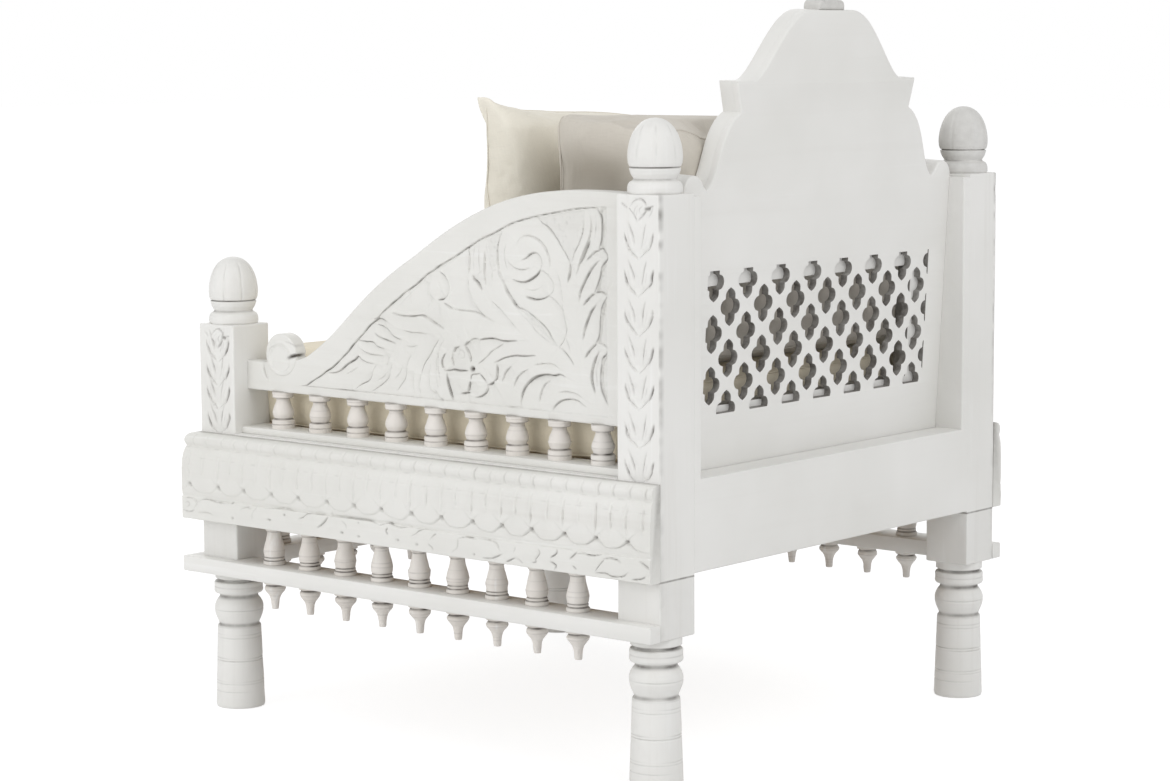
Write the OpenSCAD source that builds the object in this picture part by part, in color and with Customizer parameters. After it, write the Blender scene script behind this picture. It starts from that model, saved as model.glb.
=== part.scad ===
// Carved low armchair: square posts with turned legs and acorn finials, carved friezes,
// spindle galleries, scrolled arm panels, a pierced lattice back and loose cushions.
// Millimetres. The front faces -Y, the sitter's left is +X, and z = 0 is the floor.

/* [Overall] */
// Width over the outer faces of the posts
over_w = 722; // [680:2:800]
// Depth over the outer faces of the posts
over_d = 780; // [740:2:860]

/* [Posts] */
// Side of the square stock that each post is made from
post = 65; // [60:1:72]
// Height of the turned leg, up to the square part
leg_h = 184; // [160:1:220]
// Height of the two front posts
front_post_h = 515; // [500:1:560]
// Height of the two rear posts
rear_post_h = 707; // [690:1:760]
// Diameter of the leg's ball and ring
leg_ring_d = 65; // [58:1:65]
// Diameter of the leg where it stands on the floor
foot_d = 65; // [58:1:65]
// Diameter of the leg just under its ball
shaft_top_d = 60; // [52:1:62]

/* [Finials] */
// Largest diameter of the acorn
finial_d = 65; // [56:1:65]
// Height of the acorn's dome above its groove
finial_dome_h = 57; // [45:1:70]
// Height of the cup between the collar and the groove
finial_cup_h = 15; // [12:1:20]
// Height of the round collar on the post
finial_collar_h = 16; // [12:1:20]
// Diameter of the peg under the finial
finial_peg_d = 18; // [12:1:24]
// Length of the peg under the finial
finial_peg_l = 24; // [15:1:40]

/* [Seat rails] */
// Thickness of the side and front seat rails
rail_t = 30; // [26:1:34]
// Height of the underside of the seat rails
rail_bottom = 255; // [245:1:265]
// Height of the top of the seat rails
rail_top = 372.5; // [360:0.5:380]
// Thickness of the rear apron
apron_t = 41; // [38:1:44]
// Height of the underside of the rear apron
apron_bottom = 257; // [247:1:267]
// Drop of the rear apron's top under the side rails' top
apron_drop = 3.5; // [2:0.5:8]
// Thickness of every tenon on the rails
tenon_t = 12; // [8:1:16]
// Length of every tenon on the rails
tenon_l = 26; // [18:1:28]
// Shoulder left above and below a tenon
tenon_shoulder = 18; // [10:1:30]

/* [Friezes] */
// Thickness of the carved frieze boards
frieze_t = 19; // [16:1:24]
// Height of the top of the friezes
frieze_top = 371; // [362:1:372]
// Height of the roll along the top of a frieze
frieze_roll_h = 22; // [16:1:28]
// Height of the plain band along the bottom of a frieze
frieze_band_h = 35; // [28:1:42]

/* [Lower rails] */
// Thickness of the lower rails
lower_rail_t = 20.5; // [16:0.5:26]
// Width of the lower rails
lower_rail_w = 50; // [46:1:60]
// How far the lower rails stand out past the posts
lower_rail_lip = 17; // [12:1:22]

/* [Lower spindles] */
// Spindles under each side frieze
side_spindles = 9; // [7:1:10]
// Spindles under the front frieze
front_spindles = 8; // [6:1:9]
// Distance from one lower spindle to the next
lower_pitch = 65; // [56:1:66]
// How far the side rows sit ahead of the middle of the rail
lower_row_shift = 3.5; // [0:0.5:5]
// Largest diameter of a lower spindle
lower_spindle_d = 28; // [22:1:30]
// Length of the drop under the lower rail
drop_h = 39; // [30:1:46]
// Diameter of the pins on the lower spindles and drops
lower_pin_d = 10; // [8:1:12]

/* [Gallery] */
// Thickness of the strip on top of the side rails
strip_t = 9; // [8:0.5:14]
// Width of the strip
strip_w = 42; // [36:1:44]
// Length of a gallery spindle between the strip and the arm
gallery_h = 48.5; // [40:0.5:60]
// Spindles in each gallery
gallery_count = 9; // [7:1:10]
// Distance from one gallery spindle to the next
gallery_pitch = 68; // [60:1:70]
// How far the gallery rows sit behind the middle of the rail
gallery_shift = 4; // [-5:0.5:5]
// Largest diameter of a gallery spindle
gallery_d = 31; // [24:1:34]
// Diameter of the pins on the gallery spindles
gallery_pin_d = 10; // [8:1:12]

/* [Arms] */
// Thickness of the arm panels
arm_t = 18; // [16:1:24]
// How far the arm's outer face lies behind the post's outer face
arm_recess = 25; // [20:1:30]
// How far the arm's top lies below the top of the rear post
arm_top_drop = 0; // [0:1:12]
// Height of the low block between the scroll and the front post
arm_block_h = 38; // [30:1:48]
// Radius of the scroll at the front of the arm
scroll_r = 28; // [24:1:32]
// How far the scroll stands out past each face of the arm
scroll_proud = 1; // [0:0.5:2]
// Depth of the carved field below the arm's border
field_depth = 3; // [2:0.5:5]
// Height of the plain border under the carved field
arm_border = 13; // [8:1:18]
// Length of the tongues that join the arm to the posts
arm_tongue_l = 15; // [10:1:20]
// Thickness of those tongues
arm_tongue_t = 10; // [8:1:12]

/* [Back] */
// Lean of the back board in degrees
back_lean = 3.2; // [2.5:0.1:4]
// Distance from the rear faces of the posts to the board, at seat height
back_recess = 42; // [40:0.5:43]
// Thickness of the pierced rear layer
skin_t = 10; // [8:0.5:12]
// Thickness of the front layer with the window
front_layer_t = 20; // [16:0.5:22]
// Gap between the board's edges and the posts
back_side_gap = 0.5; // [0.3:0.1:1]
// Height of the flat top of the crest
crest_z = 921; // [900:1:950]
// Width of the crest's flat top
crest_flat_w = 92; // [70:2:110]
// Width of the small lobes beside the posts
lobe_d = 38; // [30:1:40]
// Thickness of the battens beside the rear posts
batten_t = 14; // [11:0.5:16]

/* [Lattice] */
// Width of the pierced field
lattice_w = 468; // [420:2:470]
// Height of the lower edge of the pierced field
lattice_bottom = 435; // [425:1:440]
// Height of the upper edge of the pierced field
lattice_top = 610; // [590:1:612]
// Distance between holes along a row
hole_pitch_x = 66.9; // [62:0.1:74]
// Distance between rows
hole_pitch_z = 31.3; // [30:0.1:35]
// Height of the middle of the lowest row above the field's lower edge
first_row = 4.5; // [2:0.5:8]
// Rows of holes
hole_rows = 6; // [4:1:6]
// Height of one hole from tip to tip
hole_h = 47; // [40:0.5:48]
// Width of one hole across its round lobes
hole_w = 38; // [30:0.5:40]
// How far the pattern of holes sits off the middle, towards the sitter's left
lattice_shift = -16; // [-16:0.5:16]
// Width of the window in the front layer
window_w = 436; // [400:2:450]
// Height of the window's lower edge
window_bottom = 443; // [435:1:450]
// Height of the window's upper edge
window_top = 590; // [570:1:600]

/* [Crest ornament] */
// Height of the ornament on the crest
ornament_h = 48; // [36:1:60]
// Width of the ornament's base
ornament_w = 54; // [44:1:64]
// Thickness of the ornament
ornament_t = 26; // [20:1:30]
// Diameter of the dowel that holds the ornament
ornament_dowel_d = 10; // [8:1:12]
// Length of that dowel inside the board
ornament_dowel_l = 22; // [15:1:30]

/* [Seat deck] */
// Thickness of the seat slats
slat_t = 12; // [10:1:16]
// Width of the seat slats
slat_w = 62; // [50:1:70]
// Width of the cleats that carry the slats
cleat_w = 22; // [18:1:26]
// Height of the cleats
cleat_h = 30; // [24:1:36]
// Height of the corner blocks
block_h = 42; // [30:1:46]
// How far a corner block reaches along each rail
block_reach = 52; // [40:1:60]

/* [Screws] */
// Shank diameter of the wood screws
screw_d = 4; // [3:0.5:5]
// Head diameter of the wood screws
screw_head_d = 8; // [6:0.5:9]
// Screws along each cleat and each frieze
screws_along = 4; // [3:1:5]

/* [Cushions] */
// Height of the seat cushion at its edge
seat_cushion_h = 104; // [90:1:116]
// Crown of the seat cushion in the middle
seat_crown = 9; // [4:1:14]
// Thickness of the back cushion at its edge
back_cushion_t = 204; // [150:1:206]
// Height of the back cushion
back_cushion_h = 315; // [280:1:330]
// Width of the back cushion
back_cushion_w = 540; // [500:2:560]
// How far the back cushion sits off the middle, towards the sitter's left
back_cushion_shift = 8; // [0:1:15]
// Crown of the back cushion's front face
back_crown = 14; // [8:1:18]
// Width of the throw pillow
pillow_w = 574; // [480:2:580]
// Height of the throw pillow
pillow_h = 331; // [300:1:350]
// Thickness of the throw pillow in the middle
pillow_t = 124; // [90:1:130]
// How far the sides of the cushions pull in between their corners
side_pull = 6; // [3:0.5:8]
// How far the throw pillow's upper edge pulls in between its corners
pillow_pull = 32; // [10:1:36]
// How far the throw pillow leans back in degrees
pillow_lean = 2; // [1:0.5:4]
// Gap kept between the soft pieces and what is beside them
soft_gap = 0.4; // [0.3:0.1:0.8]

/* [Hidden] */
$fn = 48;

// Clearance of every glued joint: tenons, tongues, pins, pegs and notches
fit = 0.15;
eps = 0.01;
wood = [0.90, 0.89, 0.86];
bare_wood = [0.80, 0.72, 0.60];
steel = [0.65, 0.65, 0.67];
cotton = [0.85, 0.81, 0.73];

// Places of the posts. The front friezes stand proud, so the middle of the posts lies behind y = 0.
x_out = over_w / 2;
x_in = x_out - post;
y_front = -over_d / 2 + frieze_t / 2;
y_rear = over_d / 2 + frieze_t / 2;
y_front_in = y_front + post;
y_rear_in = y_rear - post;
y_mid = (y_front + y_rear) / 2;
post_x = x_out - post / 2;
front_post_y = y_front + post / 2;
rear_post_y = y_rear - post / 2;

// Seat rails and their tenons
rail_h = rail_top - rail_bottom;
rail_tenon_z = rail_bottom + tenon_shoulder;
rail_tenon_h = rail_h - 2 * tenon_shoulder;
side_tenon_x = x_out - rail_t / 2 - tenon_t / 2;

// Arms and galleries
strip_z = rail_top;
arm_z = strip_z + strip_t + gallery_h;
arm_x_out = x_out - arm_recess;
arm_x_in = arm_x_out - arm_t;
arm_x_mid = (arm_x_out + arm_x_in) / 2;
// How far the scroll's centre lies from the front post, and above the arm's underside
scroll_away = 64;
scroll_up = 49;
// Where the volute's eye lies from the scroll's centre, and its radius
eye_y = 4;
eye_z = -6;
eye_r = scroll_r - 10;
scroll_y = y_front_in + scroll_away;
scroll_z = arm_z + scroll_up;
arm_rise = rear_post_h - arm_top_drop - arm_z;
arm_run = y_rear_in - scroll_y;
strip_x_in = arm_x_mid - strip_w / 2;

// Lower rails
lower_rail_z = leg_h;
lower_rail_top = lower_rail_z + lower_rail_t;
lower_x = x_out + lower_rail_lip - lower_rail_w / 2 - 1;
lower_y = y_front - lower_rail_lip + lower_rail_w / 2 + 1;
lower_pin_l = lower_rail_t / 2 - 0.5;
lower_top_pin_l = 14;
gallery_pin_down = strip_t - 2;
gallery_pin_up = 11;

// Back board: its own frame has v up the board from seat height and w from its rear face to the front
back_pivot_z = rail_top + 4.5;
back_t = skin_t + front_layer_t;
back_half_w = x_in - back_side_gap;
board_foot = 32;
apron_top = rail_top - apron_drop;
// How far the lobes and the notches beside them lie from the posts
lobe_in = 30.5;
valley_in = 55;
// Drop from the top of the crest to its shoulders
shoulder_drop = 85.5;
lobe_x = x_in - lobe_in;
lobe_v = rear_post_h - back_pivot_z;
valley_x = x_in - valley_in;
crest_v = crest_z - back_pivot_z;
shoulder_v = crest_v - shoulder_drop;
batten_drop = 4;

// Seat deck
slat_count = 8;
slat_z = rail_top - slat_t;
slat_half_l = x_out - rail_t - fit;
deck_front = y_front_in + 5;
deck_rear = y_rear - back_recess - back_t - 6;
slat_step = (deck_rear - deck_front - slat_w) / (slat_count - 1);
cleat_x_in = x_out - rail_t - cleat_w;
block_z = slat_z - cleat_h - block_h - 2;
slat_screw_l = 28;
cleat_screw_l = 42;
frieze_screw_l = rail_t + 12;
back_screw_l = back_t + 18;
screw_head_h = 2.4;
screw_tip = 3;
// Height of the frieze screws above the underside of the rails
frieze_screw_up = 42;
// How far the cleat screws sit behind the frieze screws
cleat_screw_shift = 20;
// Heights of the screws up each side of the back, and the spacing and drop of the row into the apron
back_screw_v = [60, 170, 280];
back_screw_pitch = 110;
back_screw_drop = 20;

// Soft pieces
seat_corner_r = 22;
back_corner_r = 18;
seat_z = rail_top + soft_gap;
seat_top = seat_z + seat_cushion_h;
seat_half_w = strip_x_in - 2.5;
seat_nose_half_w = x_in - 5;
seat_front_y = y_front + 8;
seat_rear_y = y_rear - back_recess - back_t - 5;
seat_mid_y = (seat_front_y + seat_rear_y) / 2;
seat_half_d = (seat_rear_y - seat_front_y) / 2;
nose_y = y_front_in + 2 - seat_mid_y;
back_cushion_z = seat_top + seat_crown * 0.1;
board_front_y = y_rear - back_recess - back_t / cos(back_lean)
    + (back_cushion_z - back_pivot_z) * tan(back_lean);
pillow_z = seat_top + seat_crown + 0.2;
pillow_rear_gap = 9;
pillow_y = board_front_y - back_cushion_t - back_crown - pillow_t / 2 - pillow_rear_gap;

// A cubic curve from a to d with the control points b and c, in the given number of steps
function curve(a, b, c, d, steps) = [
    for (i = [0:steps]) let (t = i / steps, s = 1 - t)
        s * s * s * a + 3 * s * s * t * b + 3 * s * t * t * c + t * t * t * d
];

// An arc of a circle round c
function arc(c, r, from, to, steps) = [
    for (i = [0:steps]) let (a = from + (to - from) * i / steps)
        c + r * [cos(a), sin(a)]
];

function mirrored(points) = [
    for (i = [len(points) - 1:-1:0]) [-points[i][0], points[i][1]]
];

// Draws its children as they are and mirrored to the other side
module both_sides() {
    children();
    mirror([1, 0, 0]) children();
}

// A profile in the (y, z) plane, drawn out along +X from x
module along_x(x, length) {
    translate([x, 0, 0]) rotate([90, 0, 90]) linear_extrude(length) children();
}

// Turned legs and posts

function leg_profile() = let (r = leg_ring_d / 2, h = leg_h) [
    [0, 0],
    [foot_d / 2 - 2, 0],
    [foot_d / 2, 2],
    [shaft_top_d / 2, h - 75.5],
    [shaft_top_d / 2 - 1, h - 74],
    [r - 6, h - 73],
    [r - 6, h - 71.5],
    [r - 4, h - 67],
    [r - 1.6, h - 61],
    [r, h - 53],
    [r - 0.8, h - 46.5],
    [r - 3, h - 41],
    [r - 6, h - 37],
    [r - 7, h - 35.5],
    [r - 7, h - 32.5],
    [r - 1.5, h - 30.5],
    [r, h - 28],
    [r, h - 17.5],
    [r - 1.5, h - 15],
    [r - 5.5, h - 13.5],
    [r - 5.5, h - 11.5],
    [r - 1.5, h - 10],
    [r - 1.5, h + 1],
    [0, h + 1]
];

module post_blank(x, y, height) {
    translate([x, y, 0]) {
        rotate_extrude($fn = 64) polygon(leg_profile());
        translate([-post / 2, -post / 2, leg_h]) cube([post, post, height - leg_h]);
    }
}

module peg_hole(x, y, height) {
    translate([x, y, height - finial_peg_l - 1])
        cylinder(d = finial_peg_d + 2 * fit, h = finial_peg_l + 2);
}

module front_post() {
    color(wood) difference() {
        post_blank(post_x, front_post_y, front_post_h);
        side_rail_tenons(fit);
        front_rail_tenons(fit);
        arm_tongues(fit);
        peg_hole(post_x, front_post_y, front_post_h);
    }
}

module rear_post() {
    color(wood) difference() {
        post_blank(post_x, rear_post_y, rear_post_h);
        side_rail_tenons(fit);
        apron_tenons(fit);
        arm_tongues(fit);
        peg_hole(post_x, rear_post_y, rear_post_h);
    }
}

// Acorn finials

function finial_profile() = let (
    r = finial_d / 2, c = finial_collar_h, g = finial_collar_h + finial_cup_h, low = g + 11
) concat([
    [0, -finial_peg_l],
    [finial_peg_d / 2, -finial_peg_l],
    [finial_peg_d / 2, 0],
    [r - 2, 0],
    [r, 2],
    [r, c - 5],
    [r - 2, c - 2],
    [r - 6, c - 0.5],
    [r - 7.5, c + 1],
    [r - 4, c + 7],
    [r - 2.2, g - 1.5],
    [r - 3.2, g],
    [r - 2, g + 1.2],
    [r - 0.6, g + 5]
], [for (a = [0:7.5:82.5]) [r * cos(a), low + (g + finial_dome_h - low) * sin(a)]],
[[0, g + finial_dome_h]]);

module finial(x, y, z) {
    color(wood) translate([x, y, z]) rotate_extrude($fn = 64) polygon(finial_profile());
}

// Seat rails, apron and their tenons

module side_rail_tenons(c) {
    translate([side_tenon_x - c, y_front_in - tenon_l - c, rail_tenon_z - c])
        cube([tenon_t + 2 * c, y_rear_in - y_front_in + 2 * tenon_l + 2 * c, rail_tenon_h + 2 * c]);
}

module front_rail_tenons(c) {
    translate([-x_in - tenon_l - c, y_front + rail_t / 2 - tenon_t / 2 - c, rail_tenon_z - c])
        cube([2 * x_in + 2 * tenon_l + 2 * c, tenon_t + 2 * c, rail_tenon_h + 2 * c]);
}

module apron_tenons(c) {
    translate([-x_in - tenon_l - c, y_rear - apron_t / 2 - tenon_t / 2 - c, rail_tenon_z - c])
        cube([2 * x_in + 2 * tenon_l + 2 * c, tenon_t + 2 * c, rail_tenon_h + 2 * c]);
}

module side_rail() {
    color(bare_wood) difference() {
        union() {
            translate([x_out - rail_t, y_front_in, rail_bottom])
                cube([rail_t, y_rear_in - y_front_in, rail_h]);
            side_rail_tenons(0);
        }
        side_spindle_places() lower_top_pin(fit);
        side_cleat_screws(fit);
        side_frieze_screws(fit);
    }
}

module seat_rail_front() {
    color(bare_wood) difference() {
        union() {
            translate([-x_in, y_front, rail_bottom]) cube([2 * x_in, rail_t, rail_h]);
            front_rail_tenons(0);
        }
        front_spindle_places() lower_top_pin(fit);
        front_frieze_screws(fit);
    }
}

module rear_apron() {
    color(wood) difference() {
        union() {
            translate([-x_in, y_rear - apron_t, apron_bottom])
                cube([2 * x_in, apron_t, apron_top - apron_bottom]);
            apron_tenons(0);
        }
        back_screw_set(fit);
    }
}

// Carved friezes

// Outline of a frieze: how far it stands out, and its height
function frieze_profile() = let (t = frieze_t, b = rail_bottom, r = frieze_top - frieze_roll_h) concat([
    [0, b],
    [t - 1, b],
    [t, b + 1],
    [t, b + frieze_band_h - 3],
    [t - 1.5, b + frieze_band_h - 1],
    [t - 0.5, b + frieze_band_h],
    [t, b + frieze_band_h + 6],
    [t, r - 24],
    [t - 1.5, r - 8],
    [t - 4, r],
    [t - 6, r + 1]
], arc([t - 3 - frieze_roll_h / 2 + 1, r + frieze_roll_h / 2], frieze_roll_h / 2 - 1, -60, 90, 8),
[[0, frieze_top]]);

// Everything inside the mitre plane that runs out from the post's front outer corner
module mitre_inside(reach) {
    translate([x_out, y_front, 0]) rotate([0, 0, -45])
        translate([-reach, -2 * reach, 0]) cube([2 * reach, 2 * reach, rear_post_h]);
}

module mitre_outside(reach) {
    translate([x_out, y_front, 0]) rotate([0, 0, -45])
        translate([-reach, 0, 0]) cube([2 * reach, 4 * reach, rear_post_h]);
}

module side_frieze() {
    color(wood) difference() {
        translate([x_out, y_rear, 0]) rotate([90, 0, 0])
            linear_extrude(y_rear - y_front + frieze_t) polygon(frieze_profile());
        mitre_inside(over_d);
        side_frieze_screws(fit);
    }
}

module frieze_front() {
    color(wood) difference() {
        translate([-x_out - frieze_t, y_front, 0]) rotate([90, 0, 90])
            linear_extrude(over_w + 2 * frieze_t)
                polygon([for (p = frieze_profile()) [-p[0], p[1]]]);
        both_sides() translate([0, -eps, 0]) mitre_outside(3 * frieze_t);
        front_frieze_screws(fit);
    }
}

// Lower rails with their spindles and drops

module post_block(c) {
    both_sides() {
        translate([x_in - c, y_front - c, leg_h - 1])
            cube([post + 2 * c, post + 2 * c, lower_rail_t + 2]);
        translate([x_in - c, y_rear - post - c, leg_h - 1])
            cube([post + 2 * c, post + 2 * c, lower_rail_t + 2]);
    }
}

module side_lower_rail() {
    color(wood) difference() {
        translate([x_out + lower_rail_lip - lower_rail_w, y_front - lower_rail_lip, lower_rail_z])
            cube([lower_rail_w, y_rear - y_front + lower_rail_lip, lower_rail_t]);
        post_block(fit);
        mitre_inside(over_d);
        side_spindle_places() lower_rail_hole();
    }
}

module lower_rail_front() {
    color(wood) difference() {
        translate([-x_out - lower_rail_lip, y_front - lower_rail_lip, lower_rail_z])
            cube([over_w + 2 * lower_rail_lip, lower_rail_w, lower_rail_t]);
        post_block(fit);
        both_sides() translate([0, -eps, 0]) mitre_outside(3 * lower_rail_lip);
        front_spindle_places() lower_rail_hole();
    }
}

module lower_rail_hole() {
    translate([0, 0, lower_rail_z - 1]) cylinder(d = lower_pin_d + 2 * fit, h = lower_rail_t + 2);
}

module side_spindle_places() {
    for (i = [0:side_spindles - 1])
        translate([lower_x, y_mid - lower_row_shift + (i - (side_spindles - 1) / 2) * lower_pitch, 0])
            children();
}

module front_spindle_places() {
    for (i = [0:front_spindles - 1])
        translate([(i - (front_spindles - 1) / 2) * lower_pitch, lower_y, 0]) children();
}

function lower_spindle_profile() = let (
    r = lower_spindle_d / 2, b = lower_rail_top, t = rail_bottom, s = (t - b) / 50.5
) [
    [0, b - lower_pin_l],
    [lower_pin_d / 2, b - lower_pin_l],
    [lower_pin_d / 2, b],
    [r + 0.6, b],
    [r + 0.6, b + 5 * s],
    [r - 1.6, b + 6 * s],
    [r - 0.9, b + 7 * s],
    [r - 0.9, b + 9.5 * s],
    [r - 1.9, b + 10.3 * s],
    [r - 0.4, b + 13.5 * s],
    [r, b + 17 * s],
    [r - 0.9, b + 21 * s],
    [r - 2.4, b + 26 * s],
    [r - 4.1, b + 32 * s],
    [r - 5.4, b + 37 * s],
    [r - 6, b + 41.5 * s],
    [r - 5.6, t - 7 * s],
    [r - 3, t - 6 * s],
    [r - 3, t],
    [lower_pin_d / 2, t],
    [lower_pin_d / 2, t + lower_top_pin_l],
    [0, t + lower_top_pin_l]
];

module lower_top_pin(c) {
    translate([0, 0, rail_bottom - 1])
        cylinder(d = lower_pin_d + 2 * c, h = lower_top_pin_l + 2);
}

function drop_profile() = let (r = lower_spindle_d / 2, t = lower_rail_z, s = drop_h / 39) [
    [0, t - drop_h],
    [4.5, t - drop_h],
    [4.8, t - 37 * s],
    [5.2, t - 32 * s],
    [5.9, t - 26.5 * s],
    [7.3, t - 21 * s],
    [9.6, t - 17 * s],
    [12, t - 13.8 * s],
    [r - 0.3, t - 11.4 * s],
    [r, t - 9.6 * s],
    [r - 1.9, t - 7.4 * s],
    [r - 1.9, t - 6.4 * s],
    [r + 0.6, t - 5.4 * s],
    [r + 0.8, t - 4 * s],
    [r + 0.8, t],
    [lower_pin_d / 2, t],
    [lower_pin_d / 2, t + lower_pin_l],
    [0, t + lower_pin_l]
];

module turned(profile) {
    color(wood) rotate_extrude($fn = 40) polygon(profile);
}

module side_lower_spindles() {
    side_spindle_places() turned(lower_spindle_profile());
}

module lower_spindles_front() {
    front_spindle_places() turned(lower_spindle_profile());
}

module side_drops() {
    side_spindle_places() turned(drop_profile());
}

module drops_front() {
    front_spindle_places() turned(drop_profile());
}

// Galleries under the arms

module gallery_places() {
    for (i = [0:gallery_count - 1])
        translate([arm_x_mid, y_mid + gallery_shift + (i - (gallery_count - 1) / 2) * gallery_pitch, 0])
            children();
}

function gallery_profile() = let (
    r = gallery_d / 2, b = strip_z + strip_t, t = arm_z, s = gallery_h / 48.5
) [
    [0, b - gallery_pin_down],
    [gallery_pin_d / 2, b - gallery_pin_down],
    [gallery_pin_d / 2, b],
    [r - 0.3, b],
    [r - 0.3, b + 4.4 * s],
    [r - 1.1, b + 5 * s],
    [r - 0.3, b + 5.7 * s],
    [r - 0.3, b + 9 * s],
    [r - 3.1, b + 10.6 * s],
    [r - 1.6, b + 13.5 * s],
    [r - 0.9, b + 17.5 * s],
    [r - 1.6, b + 22 * s],
    [r - 3.2, b + 27.5 * s],
    [r - 4.9, b + 32.5 * s],
    [r - 5.4, b + 37 * s],
    [r - 5.2, t - 8 * s],
    [r - 2, t - 7 * s],
    [r - 1.3, t - 6 * s],
    [r - 1.3, t],
    [gallery_pin_d / 2, t],
    [gallery_pin_d / 2, t + gallery_pin_up],
    [0, t + gallery_pin_up]
];

module side_gallery_spindles() {
    gallery_places() turned(gallery_profile());
}

module side_gallery_strip() {
    color(wood) difference() {
        translate([strip_x_in, y_front_in, strip_z])
            cube([strip_w, y_rear_in - y_front_in, strip_t]);
        gallery_places() translate([0, 0, strip_z + strip_t - gallery_pin_down - 1])
            cylinder(d = gallery_pin_d + 2 * fit, h = strip_t);
    }
}

// Scrolled arm panels

// The arm's outline in (y, z). Its curves keep their shape between the scroll and the rear post.
function arm_point(p) = [scroll_y + p[0] * arm_run, arm_z + p[1] * arm_rise];

function arm_curve(p, steps) =
    curve(arm_point(p[0]), arm_point(p[1]), arm_point(p[2]), arm_point(p[3]), steps);

function arm_top_curve() = concat(
    arm_curve([[1, 1], [0.775, 1.018], [0.635, 0.999], [0.411, 0.686]], 14),
    arm_curve([[0.411, 0.686], [0.219, 0.463], [0.206, 0.335], [0.076, 0.177]], 8)
);

function arm_outline() = concat(
    [[y_rear_in, arm_z]],
    arm_top_curve(),
    [[scroll_y + scroll_r - 2, scroll_z - 8],
     [scroll_y, scroll_z],
     [scroll_y - scroll_r + 2, arm_z + arm_block_h],
     [y_front_in, arm_z + arm_block_h],
     [y_front_in, arm_z]]
);

function arm_field() = concat(
    arm_curve([[0.943, 0.939], [0.807, 0.914], [0.671, 0.854], [0.54, 0.69]], 8),
    arm_curve([[0.54, 0.69], [0.384, 0.513], [0.239, 0.286], [0.093, 0.047]], 8),
    [[scroll_y + 0.943 * arm_run, arm_z + arm_border]]
);

module arm_tongues(c) {
    translate([arm_x_mid - arm_tongue_t / 2 - c, y_front_in - arm_tongue_l - c, arm_z + 6 - c])
        cube([arm_tongue_t + 2 * c, arm_tongue_l + 2, arm_block_h - 12 + 2 * c]);
    translate([arm_x_mid - arm_tongue_t / 2 - c, y_rear_in - 2, arm_z + 30 - c])
        cube([arm_tongue_t + 2 * c, arm_tongue_l + 2 + c, arm_rise - 60 + 2 * c]);
}

module arm_panel() {
    color(wood) difference() {
        union() {
            along_x(arm_x_in, arm_t) polygon(arm_outline());
            translate([arm_x_in - scroll_proud, scroll_y, scroll_z]) rotate([0, 90, 0])
                cylinder(r = scroll_r, h = arm_t + 2 * scroll_proud, $fn = 64);
            arm_tongues(0);
        }
        along_x(arm_x_out - field_depth, field_depth + 1) polygon(arm_field());
        translate([arm_x_out + scroll_proud - 2, scroll_y + eye_y, scroll_z + eye_z]) rotate([0, 90, 0])
            cylinder(r = eye_r, h = 3);
        gallery_places() translate([0, 0, arm_z - 1])
            cylinder(d = gallery_pin_d + 2 * fit, h = gallery_pin_up + 2);
    }
}

// The back

module in_board() {
    translate([0, y_rear - back_recess, back_pivot_z]) rotate([-back_lean, 0, 0]) children();
}

// A flat shape in the board's own (x, v) plane, from depth w towards the front
module board_layer(w, thickness) {
    in_board() translate([0, -w, 0]) rotate([90, 0, 0]) linear_extrude(thickness) children();
}

function half_back() = let (x = valley_x, v = shoulder_v) concat(
    [[back_half_w, -board_foot]],
    [[back_half_w, lobe_v - 2]],
    arc([lobe_x, lobe_v], lobe_d / 2, -6, 158, 12),
    [[x, lobe_v]],
    curve([x, lobe_v], [0.896 * x, lobe_v + 13], [0.917 * x, v - 54], [0.743 * x, v - 37], 8),
    [[0.763 * x, v - 20],
     [0.78 * x, v - 6],
     [0.784 * x, v],
     [0.656 * x, v]],
    curve([0.656 * x, v], [0.531 * x, v + 5], [0.39 * x, crest_v - 2], [crest_flat_w / 2, crest_v], 12)
);

module back_outline() {
    polygon(concat(half_back(), mirrored(half_back())));
}

// One pierced hole: round lobes to the sides, points above and below
module quatrefoil() {
    lobe_r = hole_h * 0.19;
    leaf_w = hole_h * 0.2;
    leaf_v = hole_h * 0.355;
    for (s = [-1, 1]) translate([s * (hole_w / 2 - lobe_r), 0]) circle(r = lobe_r, $fn = 24);
    polygon([
        [0, hole_h / 2], [leaf_w * 0.55, hole_h * 0.44], [leaf_w, leaf_v],
        [leaf_w, -leaf_v], [leaf_w * 0.55, -hole_h * 0.44], [0, -hole_h / 2],
        [-leaf_w * 0.55, -hole_h * 0.44], [-leaf_w, -leaf_v],
        [-leaf_w, leaf_v], [-leaf_w * 0.55, hole_h * 0.44]
    ]);
}

module lattice_holes() {
    intersection() {
        translate([-lattice_w / 2, lattice_bottom - back_pivot_z])
            square([lattice_w, lattice_top - lattice_bottom]);
        for (row = [0:hole_rows - 1], k = [-4:4])
            translate([lattice_shift + (k + (row % 2) / 2) * hole_pitch_x,
                lattice_bottom - back_pivot_z + first_row + row * hole_pitch_z]) quatrefoil();
    }
}

module back_lattice_board() {
    color(wood) difference() {
        board_layer(0, skin_t) difference() {
            back_outline();
            lattice_holes();
        }
        back_screw_set(fit);
        ornament_dowel(fit);
    }
}

module back_front_board() {
    color(wood) difference() {
        board_layer(skin_t, front_layer_t) difference() {
            back_outline();
            translate([-window_w / 2, window_bottom - back_pivot_z])
                square([window_w, window_top - window_bottom]);
        }
        back_screw_set(fit);
        ornament_dowel(fit);
    }
}

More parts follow.
